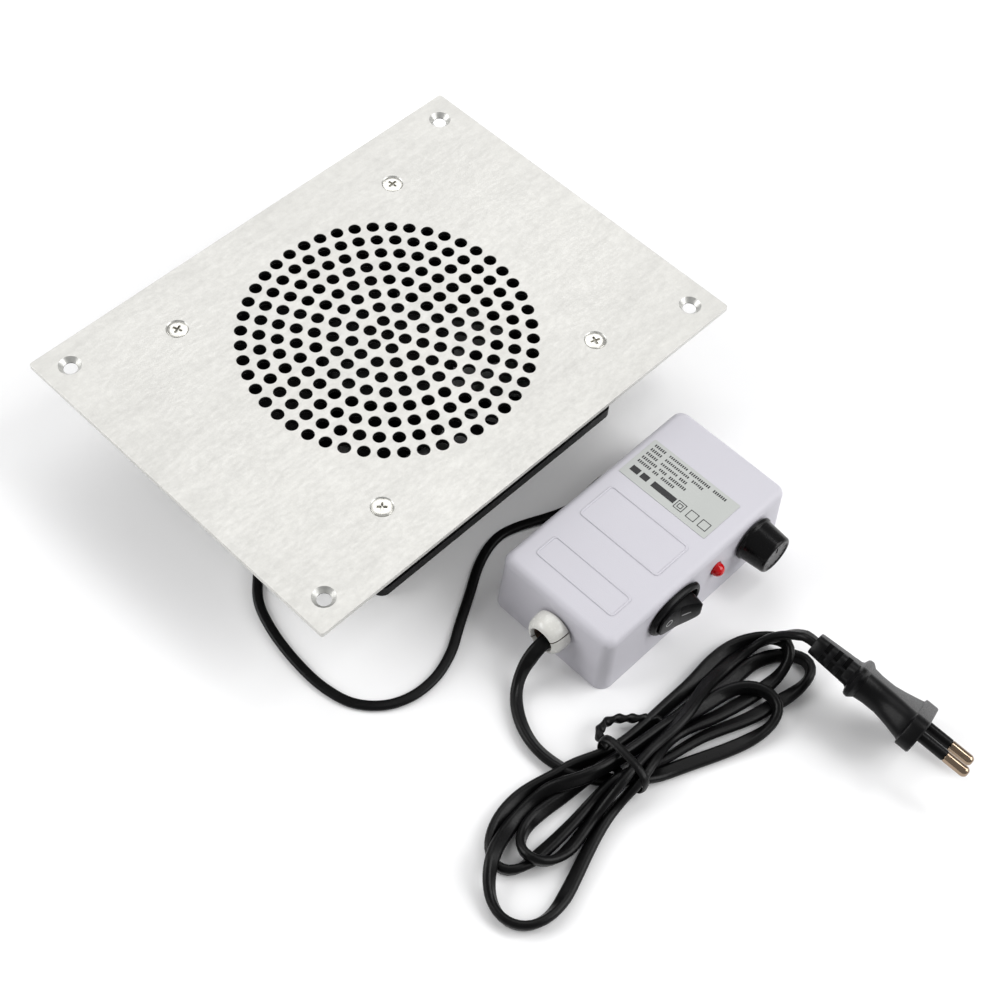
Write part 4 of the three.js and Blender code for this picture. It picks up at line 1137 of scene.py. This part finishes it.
def plug_body():
    """The moulding along X in the plug's own frame, with its front face at x = 0."""
    # x, width, thickness and corner radius of each cut across it.
    sections = [
        (-45, 8.0, 6.8, 2.0), (-44.6, 8.6, 7.4, 2.4), (-37, 10.2, 8.0, 2.6), (-29.2, 11.8, 8.6, 2.8),
        (-28.4, 13.4, 9.2, 3.2), (-27.8, 21.5, 11.0, 4.0), (-27.2, 23.6, 11.5, 4.2), (-26.0, 24.0, 11.6, 4.2),
        (-25.2, 22.0, 11.0, 4.4), (-24.3, 18.4, 10.2, 4.6), (-21, 17.0, 9.7, 4.7), (-16, 17.4, 9.6, 4.7),
        (-12.5, 20.6, 10.0, 4.6), (-8.5, 25.6, 10.6, 4.4), (-5.6, 29.4, 11.2, 4.4), (-5.2, 31.0, 11.4, 4.4),
        (-5.0, 34.8, 12.5, 4.8), (-4.6, 35.2, 12.6, 4.8), (-0.5, 35.2, 12.6, 4.8), (0, 34.4, 11.9, 4.6),
    ]
    rings = []
    for x, width, thick, radius in sections:
        outline = rounded_rectangle(thick, width, min(radius, thick / 2 - 0.1), 9)
        rings.append(np.column_stack([np.full(len(outline), x), outline[:, 1], outline[:, 0]]))
    points, faces = loft(rings)
    piece = make("plug_moulding", (points, [face[::-1] for face in faces]))
    slots = [block(x - 0.9, x + 0.9, *y, *z) for x in (-40.0, -36.2, -32.4)
             for y in ((-7.5, -2.9), (2.9, 7.5)) for z in ((-5, -0.5), (0.5, 5))]
    boolean(piece, merged(*slots))
    socket = turned_by(rod(2.15, -8, 1, 32), "Y", 90)
    boolean(piece, merged(moved(socket, 0, -PIN_Y), moved(socket, 0, PIN_Y)))
    bevel(piece, 0.22, 2, 55)
    put(piece, PLUG_PLACE)
    return finish_piece(piece, "plug_plastic", stands_for=("plug_body",), sharp=38)


def plug_pins():
    """Two pins along +X, each with a sleeve on its inner half."""
    pin = revolve(rounded([
        (0, -7.6), (1.6, -7.6), (1.6, 10.0), (2.0, 10.15), (2.0, 17.9), (1.2, 19), (0, 19),
    ], 0.7, 4), 40)
    sleeve = revolve([(1.68, 0.1), (1.98, 0.1), (2.0, 0.3), (2.0, 9.7), (1.96, 9.9), (1.68, 9.9)], 40,
                     closed=True)
    pieces = []
    for number, y in enumerate((-PIN_Y, PIN_Y)):
        pieces.append(make(f"contact_pin_{number}", moved(turned_by(pin, "Y", 90), 0, y), "nickel",
                           stands_for=(f"plug_pin_{number + 1}",), sharp=40, place=PLUG_PLACE))
        pieces.append(make(f"contact_sleeve_{number}", moved(turned_by(sleeve, "Y", 90), 0, y),
                           "black_plastic", stands_for=(f"pin_sleeve_{number + 1}",), sharp=40,
                           place=PLUG_PLACE))
    return pieces


mains_pieces += [plug_body(), *plug_pins()]


# ---------------- finishes of the CAD pieces that stay

SLOTS = {part["node"]: part["material_slot"] for part in frame["record"]["subparts"]}
for name, node in frame["nodes"].items():
    node.data.materials.clear()
    node.data.materials.append(LOOKS[SLOTS[name]])


# ---------------- floor and light

FLOOR_HALF = 2500
AIM = (0.06, -0.03, 0)

floor = make("floor", block(-FLOOR_HALF, FLOOR_HALF, -FLOOR_HALF, FLOOR_HALF, -5, -0.05))
floor.data.materials.append(LOOKS["floor"])

world = bpy.data.worlds.new("studio")
world.use_nodes = True
fill(world.node_tree.nodes["Background"], {"Color": (1.0, 1.0, 1.0, 1), "Strength": 0.35})
bpy.context.scene.world = world


def softbox(name, spot, target, side, power):
    """A square area light; places and its side are in metres, and its power in watts."""
    data = bpy.data.lights.new(name, "AREA")
    data.shape = "RECTANGLE"
    data.size = side
    data.size_y = side
    data.energy = power
    lamp = linked(name, data)
    lamp.location = spot
    lamp.rotation_euler = (Vector(target) - Vector(spot)).to_track_quat("-Z", "Y").to_euler()


softbox("top", (-0.6, 0.55, 1.15), AIM, 1.0, 6)
softbox("right", (1.0, 0.7, 0.8), AIM, 1.0, 14)
softbox("left", (-0.9, -0.8, 0.7), AIM, 1.0, 14)
softbox("glint", (0.35, 0.55, 1.1), (0.1, -0.03, 0), 0.3, 2)
bpy.context.scene.view_settings.view_transform = "Standard"
